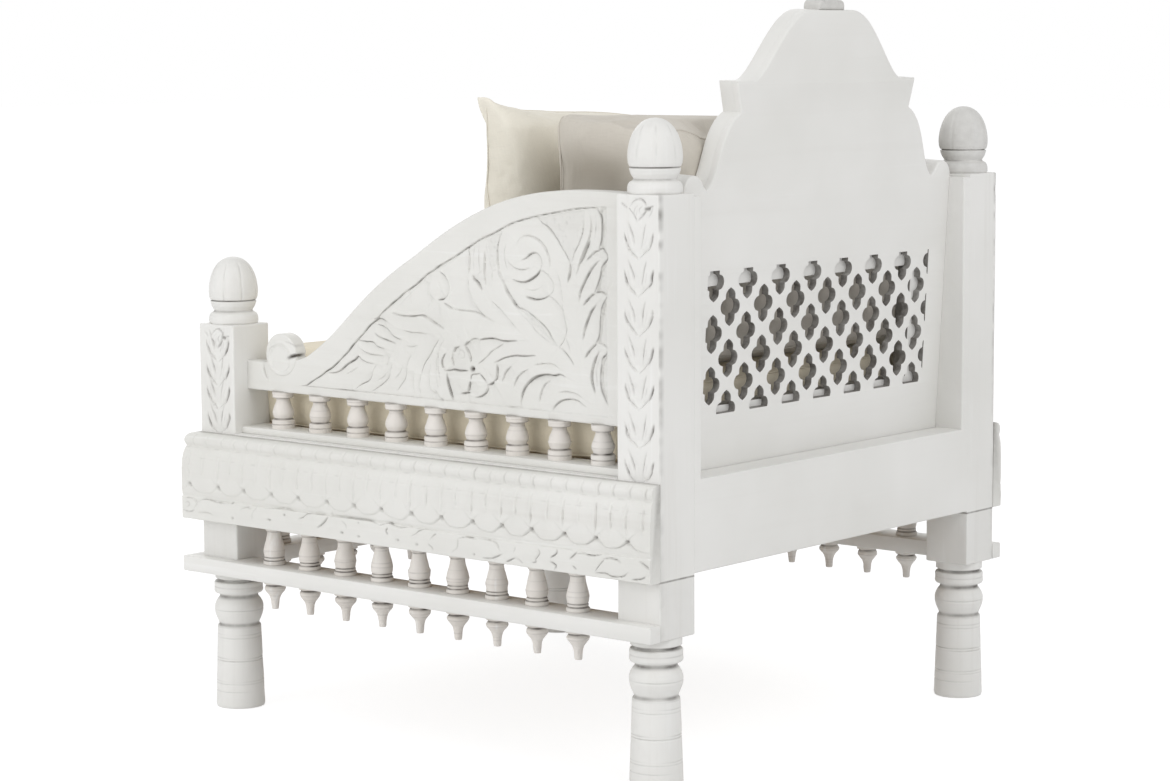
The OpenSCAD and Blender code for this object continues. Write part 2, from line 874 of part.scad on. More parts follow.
module back_batten() {
    slope = tan(back_lean);
    y_low = y_rear - back_recess + (apron_top - back_pivot_z) * slope + fit;
    top = rear_post_h - batten_drop;
    y_high = y_rear - back_recess + (top - back_pivot_z) * slope + fit;
    color(wood) difference() {
        along_x(x_in - batten_t, batten_t)
            polygon([[y_low, apron_top], [y_rear, apron_top], [y_rear, top], [y_high, top]]);
        back_screw_set(fit);
    }
}

module ornament_dowel(c) {
    in_board() translate([0, -back_t / 2, crest_v - ornament_dowel_l - c])
        cylinder(d = ornament_dowel_d + 2 * c, h = ornament_dowel_l + c + 1);
}

function half_ornament() = let (w = ornament_w / 2, h = ornament_h) concat(
    [[w, 0], [w, 5]],
    arc([w - 7, 5], 7, 20, 130, 4),
    [[w * 0.38, 14], [w * 0.36, 18]],
    arc([w * 0.36, 27], 9, -75, 75, 6),
    [[w * 0.25, 39], [w * 0.16, 44], [0, h]]
);

module crest_ornament() {
    color(wood) {
        in_board() translate([0, -(back_t - ornament_t) / 2, crest_v]) rotate([90, 0, 0])
            linear_extrude(ornament_t)
                polygon(concat(half_ornament(), [for (p = mirrored(half_ornament())) if (p[0] < 0) p]));
        ornament_dowel(0);
    }
}

// The seat deck

module side_cleat() {
    color(bare_wood) difference() {
        translate([cleat_x_in, y_front_in, slat_z - cleat_h])
            cube([cleat_w, y_rear_in - y_front_in, cleat_h]);
        slat_screw_set(fit);
        side_cleat_screws(fit);
    }
}

module seat_slat(number) {
    color(bare_wood) difference() {
        translate([-slat_half_l, deck_front + (number - 1) * slat_step, slat_z])
            cube([2 * slat_half_l, slat_w, slat_t]);
        slat_screw_set(fit);
    }
}

module front_corner_block() {
    color(bare_wood) translate([0, 0, block_z]) linear_extrude(block_h) polygon([
        [x_out - rail_t, y_front_in + block_reach],
        [x_out - rail_t, y_front_in + fit],
        [x_in - fit, y_front_in + fit],
        [x_in - fit, y_front + rail_t],
        [x_in - block_reach, y_front + rail_t]
    ]);
}

module rear_corner_block() {
    color(bare_wood) translate([0, 0, block_z]) linear_extrude(block_h) polygon([
        [x_out - rail_t, y_rear_in - block_reach],
        [x_in - block_reach, y_rear - apron_t],
        [x_in - fit, y_rear - apron_t],
        [x_in - fit, y_rear_in - fit],
        [x_out - rail_t, y_rear_in - fit]
    ]);
}

// Countersunk wood screws: the head is flush with z = 0 and the shank points down
module screw(length, c) {
    rotate_extrude($fn = 24) polygon([
        [0, c], [screw_head_d / 2 + c, c], [screw_head_d / 2 + c, 0],
        [screw_d / 2 + c, -screw_head_h], [screw_d / 2 + c, -length + screw_tip], [0, -length - c]
    ]);
}

module slat_screw_set(c) {
    both_sides() for (i = [0:slat_count - 1])
        translate([cleat_x_in + cleat_w / 2, deck_front + i * slat_step + slat_w / 2, rail_top])
            screw(slat_screw_l, c);
}

function along_side(i) = y_front_in + (i + 0.5) * (y_rear_in - y_front_in) / screws_along;

module side_cleat_screws(c) {
    for (i = [0:screws_along - 1])
        translate([cleat_x_in, along_side(i) + cleat_screw_shift, slat_z - cleat_h / 2]) rotate([0, -90, 0])
            screw(cleat_screw_l, c);
}

module side_frieze_screws(c) {
    for (i = [0:screws_along - 1])
        translate([x_out - rail_t, along_side(i), rail_bottom + frieze_screw_up]) rotate([0, -90, 0])
            screw(frieze_screw_l, c);
}

module front_frieze_screws(c) {
    for (i = [0:screws_along - 1])
        translate([(i - (screws_along - 1) / 2) * 2 * x_in / screws_along, y_front + rail_t,
            rail_bottom + frieze_screw_up]) rotate([-90, 0, 0]) screw(frieze_screw_l, c);
}

module back_screw_set(c) {
    in_board() translate([0, -back_t, 0]) {
        for (k = [-2:2])
            translate([k * back_screw_pitch, 0, -back_screw_drop]) rotate([90, 0, 0]) screw(back_screw_l, c);
        both_sides() for (v = back_screw_v)
            translate([x_in - batten_t / 2 - 0.5, 0, v]) rotate([90, 0, 0]) screw(back_screw_l, c);
    }
}

module slat_screws() {
    color(steel) slat_screw_set(0);
}

module cleat_screws() {
    color(steel) both_sides() side_cleat_screws(0);
}

module frieze_screws() {
    color(steel) {
        both_sides() side_frieze_screws(0);
        front_frieze_screws(0);
    }
}

module back_screws() {
    color(steel) back_screw_set(0);
}

// Soft pieces: closed skins lofted through rings of points

// rings are lists of equally many points, from the bottom up, each running counterclockwise from above
module lofted(bottom, rings, top) {
    n = len(rings[0]);
    m = len(rings);
    points = concat([bottom], [for (r = rings) each r], [top]);
    faces = concat(
        [for (i = [0:n - 1]) [0, 1 + i, 1 + (i + 1) % n]],
        [for (j = [0:m - 2], i = [0:n - 1]) let (a = 1 + j * n + i, b = 1 + j * n + (i + 1) % n)
            each [[a, a + n, b + n], [a, b + n, b]]],
        [for (i = [0:n - 1]) [1 + m * n, 1 + (m - 1) * n + (i + 1) % n, 1 + (m - 1) * n + i]]
    );
    polyhedron(points, faces);
}

function ring(outline, scale, z) = [for (p = outline) [p[0] * scale, p[1] * scale, z]];

// A boxed cushion: flat below, welted edges, bulging sides and a crowned top
module boxed_cushion(outline, height, crown) {
    lofted([0, 0, 0], [
        ring(outline, 0.965, 0),
        ring(outline, 0.985, height * 0.03),
        ring(outline, 0.985, height * 0.09),
        ring(outline, 1, height * 0.3),
        ring(outline, 1, height * 0.7),
        ring(outline, 0.985, height * 0.91),
        ring(outline, 0.985, height * 0.97),
        ring(outline, 0.965, height),
        ring(outline, 0.85, height + crown * 0.45),
        ring(outline, 0.62, height + crown * 0.8),
        ring(outline, 0.35, height + crown * 0.96)
    ], [0, 0, height + crown]);
}

// A knife-edged pillow with pointed corners, crowned on both faces
module pillow_form(outline, thickness) {
    steps = [0.98, 0.92, 0.82, 0.68, 0.5, 0.28];
    lofted([0, 0, -thickness / 2], concat(
        [for (i = [5:-1:0]) ring(outline, steps[i], -thickness / 2 * pow(1 - pow(steps[i], 2), 0.7))],
        [ring(outline, 1, 0)],
        [for (s = steps) ring(outline, s, thickness / 2 * pow(1 - pow(s, 2), 0.7))]
    ), [0, 0, thickness / 2]);
}

// The right half of an outline becomes a whole one, running counterclockwise
function whole(half) = concat(half, [for (i = [len(half) - 2:-1:1]) [-half[i][0], half[i][1]]]);

function drawn_side(half_w, from, to, steps) = [
    for (i = [0:steps]) let (t = i / steps)
        [half_w - side_pull * 4 * t * (1 - t), from + (to - from) * t]
];

function seat_outline() = whole(concat(
    [[0, -seat_half_d + side_pull]],
    [[seat_nose_half_w * 0.55, -seat_half_d + side_pull * 0.6]],
    arc([seat_nose_half_w - seat_corner_r, -seat_half_d + seat_corner_r], seat_corner_r, -90, 0, 4),
    [[seat_nose_half_w, nose_y]],
    drawn_side(seat_half_w, nose_y + 16, seat_half_d - seat_corner_r, 6),
    arc([seat_half_w - seat_corner_r, seat_half_d - seat_corner_r], seat_corner_r, 18, 90, 3),
    [[seat_half_w * 0.55, seat_half_d - side_pull * 0.6]],
    [[0, seat_half_d - side_pull]]
));

function box_outline(half_w, half_d, r) = whole(concat(
    [[0, -half_d + side_pull]],
    [[half_w * 0.55, -half_d + side_pull * 0.6]],
    arc([half_w - r, -half_d + r], r, -90, 0, 4),
    drawn_side(half_w, -half_d + 1.5 * r, half_d - 1.5 * r, 4),
    arc([half_w - r, half_d - r], r, 0, 90, 4),
    [[half_w * 0.55, half_d - side_pull * 0.6]],
    [[0, half_d - side_pull]]
));

// The pillow's lower edge is straight, and its sides pull in by half as much as its upper edge
function pillow_outline(half_w, half_h) = whole(concat(
    [for (i = [0:6]) [half_w * i / 7, -half_h]],
    [[half_w, -half_h]],
    [for (i = [1:7]) let (t = i / 8) [half_w - pillow_pull * 2 * t * (1 - t), -half_h + 2 * half_h * t]],
    [[half_w, half_h]],
    [for (i = [6:-1:0]) let (t = i / 7) [half_w * t, half_h - pillow_pull * (1 - t * t * t)]]
));

module seat_cushion() {
    color(cotton) translate([0, seat_mid_y, seat_z])
        boxed_cushion(seat_outline(), seat_cushion_h, seat_crown);
}

module back_cushion() {
    color(cotton) translate([back_cushion_shift, board_front_y - soft_gap - 0.3, back_cushion_z])
        rotate([90 - back_lean, 0, 0])
            translate([0, back_cushion_h / 2, 0])
                boxed_cushion(box_outline(back_cushion_w / 2, back_cushion_h / 2, back_corner_r),
                    back_cushion_t, back_crown);
}

module throw_pillow() {
    color(cotton) translate([0, pillow_y, pillow_z]) rotate([90 - pillow_lean, 0, 0])
        translate([0, pillow_h / 2, 0])
            pillow_form(pillow_outline(pillow_w / 2, pillow_h / 2), pillow_t);
}

front_post();  // post_front_left
mirror([1, 0, 0]) front_post();  // post_front_right
rear_post();  // post_rear_left
mirror([1, 0, 0]) rear_post();  // post_rear_right
finial(post_x, front_post_y, front_post_h);  // finial_front_left
finial(-post_x, front_post_y, front_post_h);  // finial_front_right
finial(post_x, rear_post_y, rear_post_h);  // finial_rear_left
finial(-post_x, rear_post_y, rear_post_h);  // finial_rear_right
side_rail();  // seat_rail_left
mirror([1, 0, 0]) side_rail();  // seat_rail_right
seat_rail_front();
rear_apron();
side_frieze();  // frieze_left
mirror([1, 0, 0]) side_frieze();  // frieze_right
frieze_front();
side_lower_rail();  // lower_rail_left
mirror([1, 0, 0]) side_lower_rail();  // lower_rail_right
lower_rail_front();
side_lower_spindles();  // lower_spindles_left
mirror([1, 0, 0]) side_lower_spindles();  // lower_spindles_right
lower_spindles_front();
side_drops();  // drops_left
mirror([1, 0, 0]) side_drops();  // drops_right
drops_front();
side_gallery_strip();  // gallery_strip_left
mirror([1, 0, 0]) side_gallery_strip();  // gallery_strip_right
side_gallery_spindles();  // gallery_spindles_left
mirror([1, 0, 0]) side_gallery_spindles();  // gallery_spindles_right
arm_panel();  // arm_panel_left
mirror([1, 0, 0]) arm_panel();  // arm_panel_right
back_lattice_board();
back_front_board();
back_batten();  // back_batten_left
mirror([1, 0, 0]) back_batten();  // back_batten_right
crest_ornament();
side_cleat();  // seat_cleat_left
mirror([1, 0, 0]) side_cleat();  // seat_cleat_right
seat_slat(1);  // seat_slat_1
seat_slat(2);  // seat_slat_2
seat_slat(3);  // seat_slat_3
seat_slat(4);  // seat_slat_4
seat_slat(5);  // seat_slat_5
seat_slat(6);  // seat_slat_6
seat_slat(7);  // seat_slat_7
seat_slat(8);  // seat_slat_8
front_corner_block();  // corner_block_front_left
mirror([1, 0, 0]) front_corner_block();  // corner_block_front_right
rear_corner_block();  // corner_block_rear_left
mirror([1, 0, 0]) rear_corner_block();  // corner_block_rear_right
slat_screws();
cleat_screws();
frieze_screws();
back_screws();
seat_cushion();
back_cushion();
throw_pillow();
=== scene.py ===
import math

import bmesh
import bpy
import numpy as np
from mathutils import Matrix, Vector
from mathutils.geometry import tessellate_polygon
from mathutils.kdtree import KDTree


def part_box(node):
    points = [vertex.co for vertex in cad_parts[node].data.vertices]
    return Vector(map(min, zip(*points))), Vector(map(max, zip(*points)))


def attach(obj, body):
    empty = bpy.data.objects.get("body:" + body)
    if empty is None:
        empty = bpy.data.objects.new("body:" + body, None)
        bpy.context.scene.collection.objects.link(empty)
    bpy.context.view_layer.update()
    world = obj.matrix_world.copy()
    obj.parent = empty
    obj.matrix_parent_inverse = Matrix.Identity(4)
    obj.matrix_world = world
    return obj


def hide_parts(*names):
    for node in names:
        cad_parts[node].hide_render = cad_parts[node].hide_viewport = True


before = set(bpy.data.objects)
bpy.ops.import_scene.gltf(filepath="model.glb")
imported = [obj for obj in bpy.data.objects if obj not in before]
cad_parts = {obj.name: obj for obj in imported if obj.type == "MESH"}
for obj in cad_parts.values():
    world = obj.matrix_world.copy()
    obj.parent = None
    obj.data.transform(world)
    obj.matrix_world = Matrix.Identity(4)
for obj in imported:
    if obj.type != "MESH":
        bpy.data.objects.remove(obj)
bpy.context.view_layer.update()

MM = 0.001
scene = bpy.context.scene
scene.view_settings.view_transform = "Standard"

# Sizes of the frame, in millimetres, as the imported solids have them
X_OUT, X_IN = 361.0, 296.0
Y_FRONT, Y_REAR = -380.5, 399.5
Y_FRONT_IN, Y_REAR_IN = -315.5, 334.5
POST_X, FRONT_Y, REAR_Y = 328.5, -348.0, 367.0
LEG_H, FRONT_H, REAR_H = 184.0, 515.0, 707.0
ARM_Z, ARM_X_IN, ARM_X_OUT = 430.0, 318.0, 336.0
SCROLL = (-251.5, 479.0)  # middle of the arm's scroll (y, z)
SCROLL_R = 28.0
BACK_LEAN = 3.2  # degrees
BACK_FOOT = 377.0  # height of the back board's lower edge
BACK_Y = Y_REAR - 42  # its rear face there
CREST = 544.0  # height of the crest in the board's own plane
LATTICE = (435.0, 610.0)  # lower and upper limit of the pierced field
WINDOW = (443.0, 590.0)  # the same of the window before it
WINDOW_X = 218  # half the window's width
RAIL_T, RAIL_LIP = 20.5, 18.8  # thickness of the lower rails, and how far they stand out past the posts
RAIL_IN = 33  # how far they reach in between the posts
GAP = 0.15  # between a rail's notch and its post
STRIP = (306, 348, 372.5, 381.5)  # gallery strip: inner and outer x, lower and upper z

# What the cushions rest on: the slats, the seat cushion under each of the other two, and the back board at its foot
SLATS_Z = 373.0
BACK_CUSHION_Z, PILLOW_Z = 480.6, 486.2
BACK_FACE_Y = 327.2

# Where the frieze's tongues part, along the left side (y)
NOTCHES = (-367, -313, -266, -216, -167, -117, -69.5, -22.6, 27.8, 76.8, 127.5, 174.4, 220.7, 271.3, 319, 365.8)

# Strokes of the frieze's garland on the left side: how heavy each is, and its points in (y, z)
GARLAND = [
    (0.7, [(-384, 279), (-386, 273), (-382, 267), (-368, 264.5), (-357, 268)]),
    (0.35, [(-384, 279.5), (-373, 283), (-362, 282.5), (-354, 277), (-358, 269)]),
    (0.3, [(-376, 275), (-371, 277.5), (-366, 274.5), (-371, 271), (-376, 273)]),
    (0.55, [(-354, 278), (-337, 284.5), (-312, 282), (-288, 283.5)]), (1.1, [(-289, 284), (-285, 284)]),
    (0.7, [(-289, 264), (-285, 264)]), (0.3, [(-351, 265), (-332, 266.5), (-321, 264.5)]),
    (0.25, [(-240, 283.5), (-248, 275.5), (-250, 265.5)]),
    (0.3, [(-229, 283), (-208, 285), (-192, 286), (-170, 284)]), (0.8, [(-193, 278), (-189, 278)]),
    (0.4, [(-224, 268.5), (-214, 269)]), (0.35, [(-272, 276.5), (-261, 280.5), (-251, 279.5)]),
    (1, [(-165, 275.5), (-157, 278.5), (-150, 283.5), (-142, 284.5)]),
    (0.5, [(-142, 284.5), (-130, 285), (-121, 285)]), (1, [(-114, 283.5), (-124, 273), (-133, 267)]),
    (0.35, [(-108, 291), (-110, 283.5)]), (0.65, [(-110, 285.5), (-74, 285.5), (-42, 285.5), (-27, 282)]),
    (0.6, [(-27, 281), (-10, 286), (0, 283.5), (12, 282.5), (27, 285.5)]), (0.9, [(-92, 265.5), (-87, 265.5)]),
    (0.6, [(-62, 281), (-60, 281)]), (0.7, [(-64, 263.5), (-59, 263.5)]),
    (0.35, [(-90, 281), (-83, 276), (-81, 271)]), (1, [(-11, 280), (-14, 275.5), (-11, 271.5)]),
    (0.8, [(27, 274), (33, 276), (40, 281), (49, 284)]), (0.8, [(2, 266), (8, 266.5)]),
    (0.7, [(34, 264), (39, 264)]), (0.6, [(-222, 268.5), (-216, 268.5)]),
    (0.6, [(70, 281), (64, 277.5), (59, 272)]), (0.9, [(56, 266.5), (60, 264), (64, 260)]),
    (0.5, [(105, 279.5), (104, 268.5), (95, 261)]), (0.7, [(106, 279.5), (120, 282), (136, 281)]),
    (0.45, [(136, 283), (163, 280.5), (173, 270)]), (0.9, [(129, 262), (132, 262)]),
    (0.9, [(144, 259.5), (157, 260), (166, 263), (176, 267.5)]), (0.9, [(181, 258), (189, 262), (196, 265)]),
    (0.4, [(196, 265), (202, 263), (208, 259)]), (0.35, [(196, 278.5), (194, 271.5)]),
    (1.1, [(232, 279), (234, 275), (230, 269.5), (227, 266), (228, 263.5), (219, 261.5)]),
    (1.2, [(261, 283), (259, 276.5), (251, 271.5)]), (1.2, [(250, 267), (256, 264.5), (259, 262), (256, 257)]),
    (1, [(291, 282.5), (286, 278), (280, 273)]), (1.1, [(291, 281), (302, 281.5), (314, 280.5), (328, 283.5)]),
    (0.9, [(284, 265), (290, 261)]), (1.2, [(332, 277.5), (326, 272), (318, 262.5)]),
    (1, [(330, 278.5), (341, 280.5), (352, 279), (357, 276.5)]),
    (1, [(318, 260.5), (333, 262), (343, 259.5), (359, 261), (368, 267)]),
    (1, [(372, 258.5), (386, 261), (393, 264.5)]), (0.8, [(383, 281.5), (389, 279), (399, 273.5)]),
]


# Camera, lights and stage

def placed(name, data):
    """A new object in the scene."""
    obj = bpy.data.objects.new(name, data)
    scene.collection.objects.link(obj)
    return obj


def make_camera():
    az, el, roll = math.radians(129.9926), math.radians(6.7331), math.radians(-0.2877)
    back = Vector((math.sin(az) * math.cos(el), -math.cos(az) * math.cos(el), math.sin(el)))
    right = (-back).cross(Vector((0, 0, 1))).normalized()
    up = right.cross(-back)
    r2 = right * math.cos(roll) + up * math.sin(roll)
    u2 = -right * math.sin(roll) + up * math.cos(roll)
    data = bpy.data.cameras.new("camera")
    data.lens, data.sensor_width = 91.353, 36
    cam = placed("camera", data)
    m = Matrix((r2, u2, back)).transposed().to_4x4()
    m.translation = Vector((3.03223647, 2.52706821, 0.88492384))
    cam.matrix_world = m
    scene.camera = cam


def area_light(name, place, target, size, watts):
    data = bpy.data.lights.new(name, "AREA")
    data.shape, data.size, data.energy = "DISK", size, watts
    lamp = placed(name, data)
    lamp.location = place
    lamp.rotation_mode = "QUATERNION"
    lamp.rotation_quaternion = (Vector(target) - Vector(place)).to_track_quat("-Z", "Y")


def node_tree(owner):
    """The emptied node tree of a material or world."""
    owner.use_nodes = True
    tree = owner.node_tree
    tree.nodes.clear()
    return tree


def seen_directly(tree):
    """1 for camera, glossy and transmission rays."""
    path = tree.nodes.new("ShaderNodeLightPath")
    value = path.outputs["Is Camera Ray"]
    for other in ("Is Glossy Ray", "Is Transmission Ray"):
        either = tree.nodes.new("ShaderNodeMath")
        either.operation = "MAXIMUM"
        tree.links.new(value, either.inputs[0])
        tree.links.new(path.outputs[other], either.inputs[1])
        value = either.outputs[0]
    return value


def shader(tree, kind, color, strength=None):
    node = tree.nodes.new(kind)
    node.inputs["Color"].default_value = (*color, 1)
    if strength is not None:
        node.inputs["Strength"].default_value = strength
    return node.outputs[0]


def blended(tree, output, share, a, b):
    """Ends the tree with shader a where the share is 0 and shader b where it is 1."""
    mix = tree.nodes.new("ShaderNodeMixShader")
    for value, socket in zip((share, a, b), mix.inputs):
        tree.links.new(value, socket)
    tree.links.new(mix.outputs[0], tree.nodes.new(output).inputs[0])


def make_stage():
    world = bpy.data.worlds.new("world")
    scene.world = world
    tree = node_tree(world)
    blended(tree, "ShaderNodeOutputWorld", seen_directly(tree),
            shader(tree, "ShaderNodeBackground", (0.985, 0.99, 1.0), 0.62),
            shader(tree, "ShaderNodeBackground", (1, 1, 1), 1.0))

    mesh = bpy.data.meshes.new("floor")
    s = 30.0
    mesh.from_pydata([(-s, -s, 0), (s, -s, 0), (s, s, 0), (-s, s, 0)], [], [(0, 1, 2, 3)])
    floor = placed("floor", mesh)
    floor.location.z = -0.0005
    mat = bpy.data.materials.new("floor")
    tree = node_tree(mat)
    share = tree.nodes.new("ShaderNodeMath")
    share.operation = "MULTIPLY"
    share.inputs[1].default_value = 0.68
    tree.links.new(seen_directly(tree), share.inputs[0])
    blended(tree, "ShaderNodeOutputMaterial", share.outputs[0],
            shader(tree, "ShaderNodeBsdfDiffuse", (0.92, 0.92, 0.92)),
            shader(tree, "ShaderNodeEmission", (1, 1, 1), 1.24))
    mesh.materials.append(mat)

    area_light("key", (1.2, 3.6, 3.4), (0, 0, 0.5), 3.0, 62)
    area_light("side", (4.0, -0.6, 2.2), (0, 0, 0.5), 3.0, 33)
    area_light("low", (3.0, -1.2, 0.55), (0.2, 0, 0.42), 2.0, 13)
    area_light("fill", (-2.6, -3.4, 2.6), (0, 0, 0.5), 3.0, 50)


# Materials

def srgb(r, g, b):
    def lin(c):
        c /= 255
        return c / 12.92 if c <= 0.04045 else ((c + 0.055) / 1.055) ** 2.4
    return (lin(r), lin(g), lin(b), 1)


class Nodes:
    """Short ways to add and link shader nodes."""

    def __init__(self, name):
        self.material = bpy.data.materials.new(name)
        self.tree = node_tree(self.material)
        self.out = self.add("ShaderNodeOutputMaterial")
        self.coord = self.add("ShaderNodeTexCoord").outputs["Object"]

    def add(self, kind, **values):
        node = self.tree.nodes.new(kind)
        for key, value in values.items():
            setattr(node, key, value)
        return node

    def link(self, a, b):
        self.tree.links.new(a, b)

    def feed(self, socket, value):
        """Links the value to the socket, or sets it there when it is a constant."""
        if isinstance(value, bpy.types.NodeSocket):
            self.link(value, socket)
        else:
            socket.default_value = value

    def fed(self, kind, **values):
        """A new node with its named inputs fed."""
        node = self.add(kind)
        for key, value in values.items():
            self.feed(node.inputs[key], value)
        return node

    def mapped(self, scale, turn=(0, 0, 0)):
        return self.fed("ShaderNodeMapping", Scale=scale, Rotation=turn, Vector=self.coord).outputs[0]

    def noise(self, scale, vector=None, detail=4.0, rough=0.55):
        vector = self.coord if vector is None else vector
        node = self.fed("ShaderNodeTexNoise", Scale=scale, Detail=detail, Roughness=rough, Vector=vector)
        return node.outputs["Fac"]

    def ramp(self, value, low, high, to_low=0.0, to_high=1.0):
        node = self.add("ShaderNodeMapRange", clamp=True)
        self.link(value, node.inputs["Value"])
        for key, v in zip(("From Min", "From Max", "To Min", "To Max"), (low, high, to_low, to_high)):
            node.inputs[key].default_value = v
        return node.outputs["Result"]

    def math(self, operation, a, b):
        node = self.add("ShaderNodeMath", operation=operation)
        for socket, v in zip(node.inputs, (a, b)):
            self.feed(socket, v)
        return node.outputs[0]

    def mix(self, factor, a, b):
        node = self.add("ShaderNodeMix", data_type="RGBA")
        for socket, v in ((node.inputs["Factor"], factor), (node.inputs[6], a), (node.inputs[7], b)):
            self.feed(socket, v)
        return node.outputs[2]

    def bump(self, height, strength, distance):
        return self.fed("ShaderNodeBump", Strength=strength, Distance=distance, Height=height).outputs[0]

    def finish(self, color, roughness, normal=None, specular=0.35, sheen=0.0):
        bsdf = self.add("ShaderNodeBsdfPrincipled")
        for socket, v in (("Base Color", color), ("Roughness", roughness), ("Specular IOR Level", specular),
                          ("Sheen Weight", sheen)):
            self.feed(bsdf.inputs[socket], v)
        if normal is not None:
            self.link(normal, bsdf.inputs["Normal"])
        self.link(bsdf.outputs[0], self.out.inputs["Surface"])
        return self.material


PAINT, SHADE = (231, 230, 227), (223, 222, 218)


def painted_wood(name, grain, marks=1.0, paint=PAINT, shade=SHADE):
    """Thin white paint over carved wood: soft brush marks along the grain, and a grey brown in the cuts, rings,
    joints and hole walls, which is soiling in part and painted shade in part.
    """
    n = Nodes(name)
    scale = [60.0, 60.0, 60.0]
    scale["xyz".index(grain)] = 2.2
    streaks = n.noise(1.0, n.mapped(scale), 5.0, 0.6)
    cloud = n.noise(5.0, None, 3.0, 0.5)
    fine = n.noise(240.0, None, 2.0, 0.5)
    base = n.mix(n.ramp(cloud, 0.3, 0.7), srgb(*paint), srgb(*shade))
    base = n.mix(n.ramp(streaks, 0.54, 0.76, 0, 0.3 * marks), base, srgb(208, 205, 199))
    base = n.mix(n.ramp(streaks, 0.38, 0.26, 0, 0.4 * marks), base, srgb(241, 241, 240))
    flecks = n.noise(34.0, n.mapped((1, 1, 0.6)), 4.0, 0.65)
    base = n.mix(n.ramp(flecks, 0.7, 0.8, 0, 0.22 * marks), base, srgb(186, 178, 168))
    # Darkening towards grey brown: soiling, and painted shade in recesses, creases and under parts
    dirt_and_shade = n.add("ShaderNodeAttribute", attribute_name="dirt_and_shade").outputs["Fac"]
    patchy = n.ramp(n.noise(70.0, None, 3.0, 0.6), 0.25, 0.75, 0.6, 1.15)
    amount = n.math("MINIMUM", n.math("MULTIPLY", dirt_and_shade, patchy), 1.0)
    base = n.mix(amount, base, srgb(88, 82, 76))
    height = n.math("ADD", n.math("MULTIPLY", streaks, 0.7), n.math("MULTIPLY", fine, 0.3))
    return n.finish(base, n.ramp(cloud, 0.2, 0.8, 0.5, 0.68), n.bump(height, 0.3, 0.0005), 0.3)


def grown(n, scale):
    """Year rings stretched by the scale, and the bare wood's colour over them."""
    rings = n.noise(1.0, n.mapped(scale), 5.0, 0.6)
    return rings, n.mix(n.ramp(rings, 0.3, 0.7), srgb(196, 172, 138), srgb(168, 140, 106))


def seat_rail_wood():
    """Bare wood that is painted only where the rail's outer face shows above the frieze."""
    n = Nodes("seat_rail_wood")
    rings, bare = grown(n, (90, 3, 90))
    place = n.add("ShaderNodeSeparateXYZ")
    n.link(n.coord, place.inputs[0])
    outside = n.ramp(n.math("ABSOLUTE", place.outputs["X"], 0.0), 0.340, 0.341)
    front = n.ramp(place.outputs["Y"], -0.3715, -0.3735)
    share = n.math("MAXIMUM", outside, front)
    paint = n.mix(n.ramp(rings, 0.4, 0.7), srgb(*PAINT), srgb(*SHADE))
    return n.finish(n.mix(share, bare, paint), 0.7, n.bump(rings, 0.3, 0.0006), 0.25)


def bare_wood():
    n = Nodes("bare_wood")
    rings, color = grown(n, (3, 90, 90))
    return n.finish(color, 0.75, n.bump(rings, 0.4, 0.0008), 0.25)


def steel():
    n = Nodes("screw_steel")
    fine = n.noise(900.0)
    color = n.mix(n.ramp(fine, 0.3, 0.7), srgb(150, 150, 152), srgb(120, 120, 123))
    return n.finish(color, n.ramp(fine, 0.2, 0.8, 0.3, 0.5), None, 0.5)


def cotton(name, light, deep):
    """Plain beige cotton between two tones: an even weave with slubs, and painted shade in a grey brown where a seam
    or fold lies."""
    n = Nodes(name)
    cloud = n.noise(7.0, None, 3.0, 0.5)
    slub = n.noise(1.0, n.mapped((420, 60, 420)), 3.0, 0.6)
    slub2 = n.noise(1.0, n.mapped((60, 420, 60)), 3.0, 0.6)
    weave = None
    for turn in ((0, 0, 0), (0, 0, math.radians(90)), (0, math.radians(90), 0)):
        wave = n.fed("ShaderNodeTexWave", Scale=260.0, Distortion=1.5, Detail=1.0, Vector=n.mapped((1, 1, 1), turn))
        wave.wave_type, wave.bands_direction = "BANDS", "X"
        weave = wave.outputs["Fac"] if weave is None else n.math("ADD", weave, wave.outputs["Fac"])
    color = n.mix(n.ramp(cloud, 0.3, 0.7), srgb(*light), srgb(*deep))
    color = n.mix(n.ramp(slub, 0.5, 0.75, 0, 0.3), color, srgb(*[c - 18 for c in light]))
    color = n.mix(n.ramp(slub2, 0.5, 0.75, 0, 0.3), color, srgb(*[c + 9 for c in light]))
    dirt_and_shade = n.add("ShaderNodeAttribute", attribute_name="dirt_and_shade").outputs["Fac"]
    # Painted shade in a grey brown where a seam or fold lies
    color = n.mix(dirt_and_shade, color, srgb(150, 142, 128))
    height = n.math("ADD", n.math("MULTIPLY", weave, 0.5), slub)
    return n.finish(color, 0.92, n.bump(height, 0.25, 0.0005), 0.15, 0.15)


# Mesh building. Points are arrays of millimetres.

def outward_mesh(name, points, faces):
    """A mesh over points in millimetres, with its faces turned outward."""
    mesh = bpy.data.meshes.new(name)
    mesh.from_pydata((points * MM).tolist(), [], faces)
    bm = bmesh.new()
    bm.from_mesh(mesh)
    bmesh.ops.recalc_face_normals(bm, faces=bm.faces)
    bm.to_mesh(mesh)
    bm.free()
    return mesh


def lay_dirt_and_shade(mesh, values):
    attribute = mesh.attributes.new("dirt_and_shade", "FLOAT", "POINT")
    attribute.data.foreach_set("value", values.astype(np.float32))


